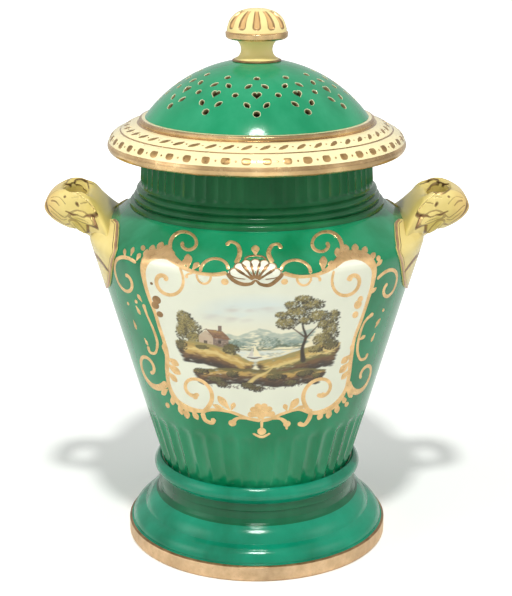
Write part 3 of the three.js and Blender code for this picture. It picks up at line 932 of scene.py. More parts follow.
def dome_holes():
    """Each hole on the unrolled dome: outside and inside of its pale edge, and the hole itself."""
    holes = []
    for i in range(360 // PITCH):
        for outline, out, azimuth, lean in piercing():
            angle = math.asin(out * DOME_RADIUS / DOME_SPHERE)
            heading, turn = math.radians(azimuth + PITCH * i), math.radians(lean)
            down = np.array((math.sin(heading), -math.cos(heading)))
            right = np.array((math.cos(heading), math.sin(heading))) * angle / math.sin(angle)
            spin = np.array(((math.cos(turn), math.sin(turn)), (-math.sin(turn), math.cos(turn))))
            turned_round = [grown(outline, by) @ spin for by in (0.55, 0.25, 0.0)]
            middle = down * angle * DOME_SPHERE
            holes.append([middle + p[:, :1] * right - p[:, 1:] * down for p in turned_round])
    return holes


def dome_grid(edge_count):
    """Points of the unrolled dome on rings from its pole, and those of its foot."""
    rings = [np.zeros((1, 2))]
    reach = DOME_FOOT * DOME_SPHERE
    steps = round(reach / 2)
    for k in range(1, steps + 1):
        out = reach * k / steps
        count = edge_count if k == steps else max(12, round(out * TURN / 2.2 / 12) * 12)
        rings.append(around(out, turns(count), 0)[:, :2])
    return np.concatenate(rings[:-1]), rings[-1]


def on_dome(flat, depth):
    """From the unrolled dome, in mm from its pole, to places at a depth below its surface."""
    inner_foot = math.acos(DOME_DROP / (DOME_SPHERE - DOME_WALL))
    turn_in = DOME_FOOT * 0.87  # below this the inside draws in to meet the rim
    out = np.linalg.norm(flat, axis=1)[:, None]
    angle = out / DOME_SPHERE
    drawn_in = np.maximum(0, angle - turn_in) * (DOME_FOOT - inner_foot) / (DOME_FOOT - turn_in)
    angle = angle - drawn_in * depth / DOME_WALL
    radius = DOME_SPHERE - depth
    level = flat / np.maximum(out, 1e-9) * radius * np.sin(angle)
    return np.concatenate([level, DOME_BASE - DOME_DROP + radius * np.cos(angle)], 1)


def covered(points, outline, margin=0.0):
    """Which points lie in a small outline or nearer to it than a margin."""
    near = np.linalg.norm(points - outline.mean(0), axis=1) < 6
    close = points[near]
    near[near] = inside(close, outline) | (distance(close, outline, closed=True) < margin)
    return near


def dome():
    edge_count = 288
    holes = dome_holes()
    grid, border = dome_grid(edge_count)
    for outer, _, _ in holes:
        grid = grid[~covered(grid, outer, 0.7)]
    parts = [border, grid] + [outer for outer, _, _ in holes]
    starts = np.cumsum([0] + [len(part) for part in parts]).tolist()
    loops = loop(edge_count)
    for start, (outer, _, _) in zip(starts[2:], holes):
        loops += loop(len(outer), start)
    flat, triangles, found = filled(np.concatenate(parts), loops)
    for outer, _, _ in holes:
        triangles = triangles[~covered(flat[triangles].mean(1), outer)]

    mesh = Mesh()
    mesh.add(on_dome(flat, 0), triangles)
    below = mesh.add(on_dome(flat, DOME_WALL), triangles[:, ::-1], 1)
    edge = [(found[a], found[b]) for a, b in loop(edge_count)]
    mesh.join([(b, a, a + below, b + below) for a, b in edge], 1)
    for start, (outer, middle, wall) in zip(starts[2:], holes):
        count = len(outer)
        layers = [[found[start + i] for i in range(count)]]
        for shape, depth in ((middle, 0.16), (wall, 0.75), (wall, DOME_WALL - 0.5)):
            first = mesh.add(on_dome(shape, depth))
            layers.append(range(first, first + count))
        layers.append([i + below for i in layers[0]])
        way = 1 if clockwise(outer) else -1
        # the walls of each hole take the darker glaze of painted shade
        for slot, upper, lower in zip((2, 3, 3, 1), layers, layers[1:]):
            quads = [(upper[i], upper[j], lower[j], lower[i]) for i, j in loop(count)]
            mesh.join([quad[::way] for quad in quads], slot)
    mesh.piece(
        "dome_pierced", [DOME_GREEN, INSIDE, CREAM, HOLE_WALL_SHADE], "cover", "cover_dome", "dome_glaze", crease=55
    )


# Knob


def knob():
    """Stem and band, then a cap whose tapering grooves are tinted and lined in brown."""
    foot, band = KNOB_BASE, 3.6
    band_foot = foot + 14.8
    band_top = band_foot + band
    outline = (
        Outline(0, foot)
        .use("dark").to(KNOB_FOOT - 0.3, foot, 0.3).to(KNOB_FOOT, foot + 0.7, 0.4)
        .to(KNOB_FOOT - 1.1, foot + 1.4, 0.4)
        .use("glaze").bow(KNOB_NECK, foot + 7.8, -1.5, 12)
        .bow(KNOB_BAND_RADIUS - 1.6, band_foot - 1.0, -2.3, 14)
        .use("gilt").to(KNOB_BAND_RADIUS - 0.3, band_foot, 0.6)
        .to(KNOB_BAND_RADIUS, band_top - 0.6, 0.6).to(KNOB_BAND_RADIUS - 0.9, band_top, 0.3)
    )
    stem, strokes = outline.points(0.8, ring=False)
    cap_steps = 44
    angle = np.linspace(0, math.pi / 2, cap_steps + 1)[1:]
    cap_r = (KNOB_BAND_RADIUS - 0.9) * np.cos(angle) ** 0.85
    cap_z = band_top + (KNOB_TOP - band_top) * np.sin(angle) ** 0.95
    rows = np.concatenate([stem, stacked(cap_r, cap_z)])
    r, z = rows[:, :1], rows[:, 1:]
    angle = np.concatenate([np.zeros(len(stem)), angle])[:, None]

    azimuth = turns(KNOB_GROOVES * 20)
    across = ((azimuth * KNOB_GROOVES / TURN + 0.5) % 1 - 0.5) * TURN / KNOB_GROOVES  # from a groove's middle
    start, stop = 0.13, 1.14  # angles up the cap where a groove begins and ends
    along = (angle - start) / (stop - start)
    in_groove = (0 < along) & (along < 1)
    half_width = mix(2.7, 1.1, np.clip(along, 0, 1))
    round_foot = np.clip(1 - along * 6, 0, 1)
    shape = np.where(in_groove, 1 - (across * r / half_width) ** 2 - round_foot**2, -1)
    sunk = 1.25 * np.clip(shape, 0, 1) ** 0.7 * np.clip((1 - along) * 4, 0, 1)
    line = np.clip(1.3 - np.abs(shape - 0.16) * 2.8, 0, 1) * in_groove
    # painted shade: a deeper yellow on the narrow stem under the band
    stem_shade = np.clip((KNOB_NECK + 5.5 - r) / 4, 0, 1) * (z < band_foot)

    finishes = {"glaze": KNOB_FINISH, "gilt": KNOB_GOLD, "dark": DARK_GOLD}
    slots = [list(finishes).index(name) for name in strokes + ["glaze"] * cap_steps]
    mesh = Mesh()
    mesh.add(
        around(r - sunk * np.cos(angle), azimuth, z - sunk * np.sin(angle)),
        grid_faces(len(rows), len(azimuth)), np.repeat(slots, len(azimuth)),
    )
    mesh.piece(
        "knob_fluted", finishes.values(), "cover", "finial_knob", "yellow_glaze", weld=True,
        colours={"gilt": stacked(line, np.clip(shape * 3, 0, 1) * 0.85, stem_shade * 0.3, 1)},
    )


# Handles


def lug_sections():
    """Sections from inside the wall to the outer end: out, middle, half-height, half-width and dip, in mm."""
    # Shares of the handle's reach, rise (foot and top), half-width and hollow
    stations = [
        (-0.56, -0.45, 0.32, 2.1, 0),
        (-0.41, -0.37, 0.51, 1.6, 0),
        (-0.23, -0.27, 0.72, 1.25, 0.1),
        (-0.04, -0.19, 0.93, 1.07, 0.5),
        (0.17, -0.07, 1.05, 1, 1),
    ]
    scale = np.array((HANDLE_REACH, HANDLE_RISE, HANDLE_RISE, HANDLE_WIDTH / 2, HOLLOW_DEPTH))
    out, foot, top, wide, dip = through(np.array(stations) * scale, 0.45).T
    root = stacked(out, (top + foot) / 2, (top - foot) / 2, wide, dip)
    start, foot, top, _, _ = stations[-1]
    phi = np.linspace(0, math.pi / 2, 110)[1:]
    share, closing = np.sin(phi), np.maximum(np.cos(phi), 0)
    middle = (foot + top) / 2 + 0.065 * np.sin(math.pi * share**0.8)
    tall = (top - foot) / 2 * closing**1.3
    end = stacked(mix(start, 1, share), middle, tall, closing**0.55, closing**4.5)
    return np.concatenate([root, end * scale])


# Leaf's edge on the lug: degrees round from the top, and distance out from the axis of the jar
LEAF_EDGE = [
    (0, 122.4), (12, 122), (16, 120), (25, 117), (38, 115), (45, 111), (52, 104), (60, 99.4), (65, 98.6),
    (77, 100.4), (83, 102), (86, 100.4), (89, 98.8), (96, 101), (104, 105), (116, 104.8), (130, 105.8),
    (142, 109), (158, 112), (180, 114),
]
# Petals that stand up from the leaf: the ends of each, in degrees and distance out, and its width in mm
PETALS = [((104, 116.4), (88, 99.4), 5.8), ((114, 116.4), (134, 106.6), 7.6)]
# Brown strokes on the leaf: points of degrees, distance out, and width in mm. The thick dark ones along the
# lobes' lower edges also paint the shadow those edges cast
LEAF_STROKES = [
    [(64, 98.8, 1.2), (66, 104, 0.6), (63, 109.5, 0.6), (58, 113.3, 0.7), (50, 117, 0.8), (42, 120.6, 1.0),
     (38, 124, 1.1), (40, 128, 1.1), (60, 130.8, 1.2), (88, 130.8, 1.5)],
    [(64, 98.6, 1.3), (76, 100.2, 1.5), (83, 102, 1.6), (88, 104.6, 1.1), (91, 107, 0.6), (95, 111, 0.6),
     (98, 114.4, 1.3), (95, 118.4, 0.7)],
    [(82, 101.6, 1.5), (86, 100, 1.6), (89, 98.8, 1.9), (97, 102, 0.9), (106, 105.4, 0.9)],
    [(104, 113.4, 0.3), (99, 109, 0.5), (93, 103.4, 0.4)],
    [(124, 116, 0.8), (138, 114, 1.1), (148, 111.6, 1.1), (138, 107.6, 1.1), (130, 105.6, 1.5),
     (107, 105, 1.2)],
    [(117, 114.4, 0.4), (126, 112, 0.6), (130, 108.6, 0.4)],
    [(60, 131, 1.0), (96, 129.8, 1.3), (119, 127, 1.3), (128, 123.6, 1.1), (137, 120.6, 1.0),
     (128, 117.4, 1.3)],
    [(74, 127, 1.2), (80, 124.6, 0.9), (88, 122.4, 0.5)],
    [(84, 129, 0.7), (92, 126, 0.7), (101, 123.6, 0.6), (110, 119.6, 0.9), (104, 117.4, 0.7)],
    [(98, 127.6, 0.5), (108, 125, 0.6), (119, 121, 0.8), (114, 118.4, 0.7)],
    [(62, 127.4, 0.6), (72, 122.4, 0.5), (86, 118.6, 0.6)],
    [(38, 105.4, 1.3), (45, 109.6, 1.4), (45, 113, 1.4), (38, 116.2, 1.2), (25, 117.2, 1.2), (16, 120, 1.1),
     (12, 123, 0.8)],
    [(73, 118.6, 1.3), (73.5, 118.9, 1.3)],
    [(83, 111.4, 2.1), (83.6, 111.1, 2.1)],
    [(79, 109, 0.6), (74, 107, 0.6), (69, 105, 0.5)],
    [(75, 114.6, 0.4), (69, 110.4, 0.5)],
    [(8, 117.8, 1.7), (8.5, 117.5, 1.7)],
]
# Finger opening through a lug: its middle's distance out, and half its size out and across
OPENING = (114, 6.2, 14.6)
LUG_COLUMNS = 360


def opening_at(height):
    """Half the opening's sizes at a height over the corner, wider at both mouths, and how far back it is."""
    wider = 2.2 * np.clip((np.abs(height - 12) - 8) / 8, 0, 1) ** 2
    return OPENING[1] + wider, OPENING[2] + wider, -0.25 * (height - 12)


def lug_round(angle):
    """Half-width and height of the lug's section round from its top: full and square above, rounder below."""
    sine, cosine = np.sin(angle), np.cos(angle)
    upper = cosine > 0
    across = np.sign(sine) * np.abs(sine) ** np.where(upper, 0.8, 1.3)
    return across, np.sign(cosine) * np.abs(cosine) ** np.where(upper, 0.6, 1.0)


LUG_TURN = np.linspace(0, -TURN, 7201)
LUG_GIRTH = run(stacked(*lug_round(LUG_TURN)) * np.array((HANDLE_WIDTH / 2, HANDLE_RISE / 2)))


def lug_girth(degrees):
    """Mm round the lug from its top to an angle."""
    return np.interp(degrees, -np.degrees(LUG_TURN), LUG_GIRTH)


class Lug:
    """The lug with its leaf, at the right-hand side: rows are its sections, columns run round it."""

    def __init__(self):
        angle = np.interp(np.arange(LUG_COLUMNS) / LUG_COLUMNS * LUG_GIRTH[-1], LUG_GIRTH, LUG_TURN)
        across, self.up = lug_round(angle)
        out, middle, tall, wide, dip = lug_sections().T[..., None]
        y = wide * across
        self.dip = dip * np.exp(-(y / HOLLOW_WIDTH) ** 4) * np.maximum(0, self.up)
        z = middle + tall * self.up - self.dip
        self.points = stacked(out + CORNER_RADIUS, y, z + CORNER_HEIGHT)
        self.x = self.points[..., 0].copy()
        self.degrees = 180 - np.abs(180 - np.abs(np.degrees(angle)))
        self.round = lug_girth(self.degrees)
        self.place = stacked(self.round, self.x).reshape(-1, 2)
        edge = np.array([(lug_girth(a), at) for a, at in LEAF_EDGE])
        self.beyond = self.x > np.interp(self.round, *edge.T)  # on the leaf, past its edge
        gap = distance(self.place, edge).reshape(self.x.shape)
        self.relief = 1.15 * np.clip(np.where(self.beyond, gap, -gap) / 0.9 + 0.35, 0, 1)
        self.gilt = np.zeros(self.x.shape)

    def petal(self, start, end, width):
        start, end = (np.array((lug_girth(a), at)) for a, at in (start, end))
        half, offset = (end - start) / 2, self.place - (start + end) / 2
        length = np.linalg.norm(half)
        along = offset @ half / length**2
        aside = (offset[:, 0] * half[1] - offset[:, 1] * half[0]) / length / (width / 2)
        out_of = np.hypot(along, aside).reshape(self.x.shape)
        self.relief += 0.9 * np.sqrt(np.clip(1 - out_of**2, 0, 1))
        self.gilt = np.maximum(self.gilt, np.clip(1.3 - np.abs(out_of - 1) * width / 2 / 0.4, 0, 0.62))

    def stroke(self, points):
        """A brown brush line, sunk a little."""
        near = np.full(len(self.place), 1e9)
        for a, at, width in through([(lug_girth(a), at, width) for a, at, width in points], 0.6):
            near = np.minimum(near, np.hypot(self.place[:, 0] - a, self.place[:, 1] - at) / (width / 2))
        line = np.clip(1.5 - near, 0, 1).reshape(self.x.shape)
        self.gilt = np.maximum(self.gilt, line * min(1, 0.42 + 0.42 * points[1][2]))
        self.relief -= 0.3 * line * (self.x < CORNER_RADIUS + HANDLE_REACH * 0.97)

    def mouth_line(self):
        """A brown line round the opening's mouth, left out at the front and back."""
        half_out, half_wide, back = opening_at(self.points[..., 2] - CORNER_HEIGHT)
        y = self.points[..., 1]
        ring = np.hypot((self.x - OPENING[0]) / half_out, (y - back) / half_wide)
        line = np.clip(1.5 - np.abs((ring - 1) * half_wide - 0.8) / 0.7, 0, 1)
        self.gilt = np.maximum(self.gilt, line * 0.85 * (self.up > 0) * (np.abs(y) > 7))

    def raise_relief(self):
        round_it = np.roll(self.points, -1, 1) - np.roll(self.points, 1, 1)
        normal = unit(np.cross(np.gradient(self.points, axis=0), round_it))
        outward = ((self.points - self.points.mean(1, keepdims=True)) * normal).sum(2).mean()
        self.points += normal * np.sign(outward) * self.relief[..., None]

    def tints(self):
        """The attribute called gilt: brown lines, the blush of the end, and painted shade, a deeper yellow,
        in the hollow, on the lower lobes and on the stem's top.
        """
        x = self.points[..., 0]
        # painted shade: the hollow, the lower lobes and the stem's top by the wall
        hollow = self.dip / HOLLOW_DEPTH * (x > CORNER_RADIUS - 8)
        low_lobes = self.beyond * np.clip((self.degrees - 92) / 14, 0, 1) * np.clip((118 - x) / 5, 0, 1)
        stem_top = np.clip((110 - x) / 6, 0, 1) * np.maximum(0, self.up)
        shade = np.clip(np.maximum(hollow, 0.9 * np.maximum(stem_top, low_lobes)), 0, 1)
        return stacked(self.gilt, np.clip((x - 120) / 12, 0, 1) * 0.55, shade, 1).reshape(-1, 4)

    def seat(self):
        """Draws the root's points that lie deep in the vessel out to a little below its glaze."""
        sunk = 0.9
        rows, _ = vessel_outline().points(0.5, 16, ring=False)
        points = self.points.reshape(-1, 3)
        flat = stacked(np.linalg.norm(points[:, :2], axis=1), points[:, 2])
        nearest = np.linalg.norm(flat[:, None] - rows, axis=2).argmin(1)
        tangent = unit(np.gradient(rows, axis=0))[nearest]
        normal = stacked(tangent[:, 1], -tangent[:, 0])
        depth = ((rows[nearest] - flat) * normal).sum(1)
        deep = depth > sunk
        place = (flat + normal * (depth - sunk)[:, None])[deep]
        points[deep, :2] *= place[:, :1] / flat[deep, :1]
        points[deep, 2] = place[:, 1]
        return points

    def mesh(self, side):
        """The lug's mesh, turned half round for the left side, and its tints."""
        for start, end, width in PETALS:
            self.petal(start, end, width)
        for points in LEAF_STROKES:
            self.stroke(points)
        self.mouth_line()
        self.raise_relief()
        tints = np.concatenate([self.tints(), [[0, 0, 0, 1], [0, 0.5, 0, 1]]])
        points = self.seat()
        count, columns = len(points), LUG_COLUMNS
        ends = [points[:columns].mean(0), points[-columns:].mean(0)]
        faces = [*grid_faces(count // columns, columns)]
        faces += [(a, count, b) for a, b in loop(columns)]
        faces += [(a, b, count + 1) for a, b in loop(columns, count - columns)]
        mesh = Mesh()
        mesh.add(np.concatenate([points, ends]) * (side, side, 1), faces)
        return mesh, tints


def open_lug(piece, side):
    """Cuts the opening that runs down and back through the lug."""
    steps = 72
    height = np.linspace(-16, 44, 31)[:, None]
    half_out, half_wide, back = opening_at(height)
    x = side * OPENING[0] + half_out * np.cos(turns(steps))
    y = half_wide * np.sin(turns(steps)) + back
    ends = [range(steps)[::-1], range(x.size - steps, x.size)]
    shape = Mesh()
    shape.add(stacked(x, y, height + CORNER_HEIGHT), [*grid_faces(len(height), steps), *ends])
    cutter = linked("cutter", shape.data("cutter"))
    cut = piece.modifiers.new("opening", "BOOLEAN")
    cut.operation = "DIFFERENCE"
    cut.solver = "EXACT"
    cut.object = cutter
    opened = bpy.data.meshes.new_from_object(piece.evaluated_get(bpy.context.evaluated_depsgraph_get()))
    piece.modifiers.clear()
    piece.data = opened
    smooth(opened, 50)
    bpy.data.objects.remove(cutter)


# Root leaf's outline on the unrolled wall, from the middle of its top edge round to its lowest tip
ROOT_LEAF = [
    (0, 11.4), (12, 13), (23, 18.6), (33, 18.5), (40.5, 15.9), (48, 12.6), (54.5, 9.3), (60, 6.1),
    (65.5, 2.6),
    (66.6, -1.4), (62, -7), (56.6, -12.4), (50, -19), (38.6, -28.3), (26, -33.8), (12, -37.6),
]
# Where the root leaf's edge curls over: a brown line widened into painted shade of the fold
ROOT_FOLD_SHADE = [
    (51.5, -15.8, 2), (47, -13.8, 4.2), (40, -11.2, 4.8), (31, -10.4, 4.2), (20, -11.6, 3.2), (9, -14.5, 2),
]
ROOT_VEIN = [(0, -37.5, 1.4), (0, -30, 1.1), (0, -22, 0.8), (0, -12, 0.4)]


def mirrored(points):
    return [(-p[0], *p[1:]) for p in points]


def handle(name, side):
    wall = Wall(side * math.pi / 2)
    lug, tints = Lug().mesh(side)
    piece = lug.piece(
        name + "_leaf_lug", [LUG_FINISH], "jar", name, "yellow_glaze", crease=50, colours={"gilt": tints}
    )
    open_lug(piece, side)
    outline = ROOT_LEAF + [(0, -39.7)] + mirrored(ROOT_LEAF[:0:-1])
    root = plate(wall, outline, 1.1, edge=1.1)
    root.piece(name + "_root_leaf", [LUG_FINISH], "jar", slot="yellow_glaze", crease=50)
    strokes = []
    for inwards, width, slot in ((0.85, 1.6, 0), (2.5, 0.6, 1)):
        line = inset(outline, inwards)[2:len(ROOT_LEAF) + 1]
        strokes.append(([(u, s, width) for u, s in line], 0.14, slot))
    # the fold's broad dark band, painted shade as well as a line
    strokes.append((ROOT_FOLD_SHADE, 0.16, 1))
    strokes += [(mirrored(points), rise, slot) for points, rise, slot in strokes]
    lines = Mesh()
    for points, rise, slot in strokes + [(ROOT_VEIN, 0.14, 1)]:
        ribbon(lines, Raised(wall, 1.0), points, rise, slot)
    lines.piece(name + "_gilt_lines", [ROSE_GOLD, DARK_GOLD], "jar", slot="yellow_glaze")


# Painted front: the white reserve in its gilt scroll frame.
# Places are mm across the front and along the wall from its corner, and a third value is a stroke's width.


def curl(start, centre, sweep, last, widths, power=0.7):
    """A scroll that winds in round a centre to a last radius; sweep is in degrees, anticlockwise."""
    across, along = start[0] - centre[0], start[1] - centre[1]
    radius, heading = math.hypot(across, along), math.atan2(along, across)
    points = []
    for t in np.linspace(0, 1, math.ceil(abs(sweep) / 24) + 1):
        angle = heading + math.radians(sweep) * t
        r = mix(radius, last, t**power)
        width = np.interp(t, (0, 0.5, 1), widths)
        points.append((centre[0] + r * math.cos(angle), centre[1] + r * math.sin(angle), width))
    return points


def arch(start, end, height, width):
    """Half an oval that stands on the line from start to end."""
    points = []
    for turn in np.linspace(0, math.pi, 9):
        share = (1 - math.cos(turn)) / 2
        u, s = mix(start[0], end[0], share), mix(start[1], end[1], share)
        points.append((u, s + height * math.sin(turn), width))
    return points


# The two sides of the frame, each from the shell at the top to the fan at the bottom
FRAME_LEFT = [
    (-17, -1, 2.8), (-25, -2.6, 2.6), (-35, -2.2, 2.4), (-43, 0, 3), (-48.5, 3.6, 5.4), (-55, 7.4, 7.6),
    (-63, 6.6, 8), (-69.5, 2, 7), (-72.5, -6, 5), (-72, -15, 3.8), (-69.5, -25, 3.2), (-66, -34, 3),
    (-63, -45, 3),
    (-60, -55, 3.2), (-58.5, -65, 4), (-59.5, -77, 3.6), (-58.5, -89, 3.8), (-53.5, -98, 5), (-45, -102, 5),
    (-35, -102, 3), (-27, -99.6, 2.4), (-16, -100, 2.4), (-6, -104, 2.6), (2.5, -106, 2.8),
]
FRAME_RIGHT = [
    (15, -1, 2.8), (23.5, -3.8, 2.6), (32, -4, 2.4), (40, -2, 3), (46, 1.4, 5.2), (53, 6.2, 7.6),
    (62, 6.4, 8),
    (70, 2, 7), (75.5, -6, 5), (75.5, -16, 4), (72.5, -28, 3.2), (68.5, -41, 3), (64, -54, 3),
    (62.5, -68, 3.8),
    (62, -82, 3.6), (60, -92, 3.8), (53, -100.5, 5), (44, -104, 4.8), (34.5, -103.2, 3), (26, -99.2, 2.4),
    (16, -101.2, 2.4), (8, -104.8, 2.6), (2.5, -106, 2.8),
]
SHELL_UNDER = [
    (-17, -1, 2.8), (-13.5, -5.6, 2.8), (-8, -8.2, 2.8), (-3, -7.6, 2.2), (-0.8, -5.4, 1.6), (2, -8, 2.2),
    (7, -8.8, 2.8), (12, -5, 2.8), (15, -1, 2.8),
]
SCROLLS = [
    curl((-46, 0.5), (-56.5, -11), -375, 2, (1.8, 3.2, 3.4)),
    curl((46, -2), (58, -11.5), 375, 2, (1.8, 3.2, 3.4)),
    curl((-42.5, 1), (-42.5, 18), -470, 2.4, (3.4, 2.2, 2.8), 0.55),
    curl((44.5, 0), (40, 17.5), 470, 2.4, (3.4, 2.2, 2.8), 0.55),
    curl((-34.5, -103.5), (-39.5, -87), 400, 3, (3.2, 2.6, 3.6), 0.55),
    curl((34, -103.5), (41, -87.5), -390, 3, (3.2, 2.6, 3.6), 0.55),
    curl((-60.5, -86.5), (-77, -80), -420, 3, (5.6, 2.8, 3)),
    curl((61.5, -86), (78, -86), 385, 3.4, (5.6, 2.8, 3)),
    curl((-78, -2), (-90, -17), 400, 3, (2.6, 2.6, 3)),
    curl((79, -14), (92, -23), -390, 3, (2.8, 2.6, 3)),
    arch((-33, -1.5), (-16.4, 1), 9, 2.2),
    arch((31.5, -2.5), (14, 0), 9, 2.2),
    arch((-35.3, -3.2), (-26.6, -3.4), -6, 1.7),
    arch((23.2, -4.4), (31.8, -5), -5.4, 1.7),
    [(-41.6, -6.8, 3), (-41.4, -4.4, 1.8), (-37.5, -2.4, 1.4)],
    [(37.4, -8.4, 2.6), (36.6, -5.4, 1.6), (33, -4.2, 1.4)],
    [(-12, 5.6, 3), (-9.8, 14, 2.8), (-11.5, 20.4, 2.4), (-15.5, 22, 2.2), (-17.8, 19, 3)],
    [(9, 6.4, 3), (6.8, 14, 2.8), (9, 19.6, 2.4), (12.6, 20.4, 2.2), (14.2, 16.8, 3)],
    [(-75.3, -31, 3.4), (-73, -38, 2), (-68, -49, 2.2), (-66, -58, 2.4), (-69, -66, 2.2), (-74, -66.6, 2.4),
     (-75.4, -62.4, 3.2)],
    [(79.4, -38.8, 3.4), (72, -43, 2.2), (68, -54, 2.4), (68, -65, 2.4), (72, -71.8, 2.2), (77, -72, 2.6),
     (78.6, -68.8, 3.2)],
    [(-34.5, -103, 3.6), (-32.6, -108.6, 3.2), (-28, -109.8, 3.2), (-26.8, -106, 3.8)],
    [(34, -100, 3), (33.4, -107, 3.4), (29.6, -111.8, 3), (25.6, -109.6, 3.8)],
    [(-14.6, -107.4, 3.6), (-11.8, -104.6, 2.2), (-5, -104.4, 1.6)],
    [(18.2, -108.4, 3.6), (14.4, -105, 2.2), (7.6, -104.6, 1.6)],
    [(18.2, -108.4, 2.2), (18.6, -113.8, 1.6)],
    [(3, -106, 2), (3, -112, 1.6)],
    [(-2.6, -115.6, 1.4), (3, -118.4, 2), (8.4, -115.6, 1.4)],
]
# Flames and small leaves: base, tip, width
LEAVES = [
    ((-71, -1), (-70, 9), 5.4), ((-67, 3), (-66, 13), 5.6), ((-62, 5), (-59.5, 16.5), 6), ((-56, 6),
    (-56, 15), 5),
    ((-50, 4), (-53, 12), 4.6), ((-40.5, -0.5), (-41, 10.5), 5.4), ((-38, -1), (-34, 5), 3.8),
    ((-45, 1), (-41, 6.6), 4), ((39, -2.5), (39.6, 9.2), 5.2), ((42.5, -1), (45, 5), 3.8), ((50, 4),
    (49, 14), 5),
    ((56, 6), (54.5, 15.5), 5.2), ((61, 6), (62.5, 14.5), 5.6), ((66.5, 4), (70.5, 11), 5.2), ((71, 0),
    (77, 5), 4.6),
    ((-59, -66.5), (-49.5, -70.5), 5.4), ((-59.5, -71), (-48.5, -77), 6), ((-59.5, -77), (-51.5, -83.5), 5),
    ((-60, -65), (-60.5, -56), 4), ((62.5, -65), (54.5, -70), 5.4), ((62, -70.5), (53.5, -77), 5.8),
    ((62, -76.5), (55.6, -82.6), 4.8), ((63, -65), (62.5, -57), 4),
    ((-16, -99), (-24, -88.6), 5.2), ((-15.6, -99), (-13.6, -92.6), 3.4), ((-18, -99.4), (-27.5, -95.6), 3.4),
    ((19.4, -100), (25.6, -90.6), 5.2), ((18.4, -99.6), (16.8, -94), 3.4), ((21, -99.8), (30, -97.2), 3.4),
    ((-52, -99), (-49.5, -108.6), 4.8), ((-46.5, -101), (-45.6, -110.6), 5), ((-42, -102),
    (-37.6, -109.4), 4.4),
    ((-57, -95), (-57, -103), 4.2), ((43, -103), (39.6, -110), 4.6), ((48.5, -102.4), (47, -110.8), 5),
    ((53.5, -100), (54.4, -108.6), 4.8), ((58, -96), (61, -102.6), 4.2), ((-60, -91), (-67, -97.6), 4.4),
    ((61, -92), (67.6, -100), 4.4), ((-76, -30), (-80, -25), 3), ((-78, -57), (-75, -62), 2.6),
    ((68, -56), (74, -54), 3), ((82.6, -51), (88, -45), 3), ((84, -55), (80.6, -61), 2.8), ((-83, -34),
    (-79, -40), 3),
    ((-88, -46), (-85.6, -53), 2.8), ((-78, -1), (-75, 5), 3.4), ((-83, 1), (-82, 8), 3.4), ((-88, -1),
    (-90, 5), 3.2),
    ((75.5, -5), (82.5, -1), 3.6), ((73.5, -24), (79.5, -20), 3),
]
# Round dabs: place and width
DABS = [
    (-74, 9, 4), (-18.4, -7, 4.6), (16, -6.8, 4.2), (-62, -104.6, 4.2), (62.6, -104, 4), (79, 0.6, 3.8),
    (-39, -92, 3.8), (42, -91, 3.8), (-15, -108.4, 5), (18.6, -109.4, 4.8), (3, -114.2, 5.6), (-82, -31, 2.8),
    (-91.4, -35, 2.6), (84.6, -47.6, 2.4), (90, -39.6, 2.6), (-55.6, -9, 3.6), (57.4, -9.4, 3.6),
    (64.6, -29, 6.4), (66.2, -25.4, 4.6), (63.2, -36, 5), (-64, -41, 2.8),
]
DARK_DABS = [(-63.6, -25.4, 7), (-65, -29.6, 6.4), (-61.8, -35.4, 5.2), (-66.6, -14.4, 2.4)]
FAN_CENTRE = (2.6, -103)
FAN_TIPS = [(-5.6, -100.6), (-3.4, -95.8), (0.2, -92.8), (5, -92.8), (8.8, -95.6), (11.2, -100.4)]
SHELL_BASE = (-0.8, -6)
SHELL_TIPS = [(-15.4, 0.6), (-12, 5.4), (-7, 8.2), (-0.8, 9.2), (5.4, 8.2), (10.4, 5.4), (13.8, 0.4)]


def places(stroke):
    """A stroke's points without their widths."""
    return [p[:2] for p in stroke]


def reserve(wall):
    """The white ground inside the frame."""
    outline = places(FRAME_LEFT[::-1] + SHELL_UNDER[1:-1] + FRAME_RIGHT[:-1])
    plate(wall, outline, 0.07).piece("white_reserve", [WHITE], "jar", slot="green_glaze")


def gilt_frame(wall):
    mesh = Mesh()
    for stroke in (FRAME_LEFT, FRAME_RIGHT, *SCROLLS):
        ribbon(mesh, wall, stroke)
    for base, tip, width in LEAVES:
        patch(mesh, wall, blade(base, tip, width))
    for u, s, width in DABS:
        patch(mesh, wall, oval(u, s, width, width))
    for tip in FAN_TIPS:
        patch(mesh, wall, blade(FAN_CENTRE, tip, 4.2, PETAL_FORM))
    patch(mesh, wall, oval(*FAN_CENTRE, 4.4, 3.6), GILT_RISE * 1.6)
    patch(mesh, wall, blade((-0.8, 12), (-0.8, 20), 5))
    mesh.piece("gilt_scrollwork", [GOLD], "jar", slot="green_glaze")


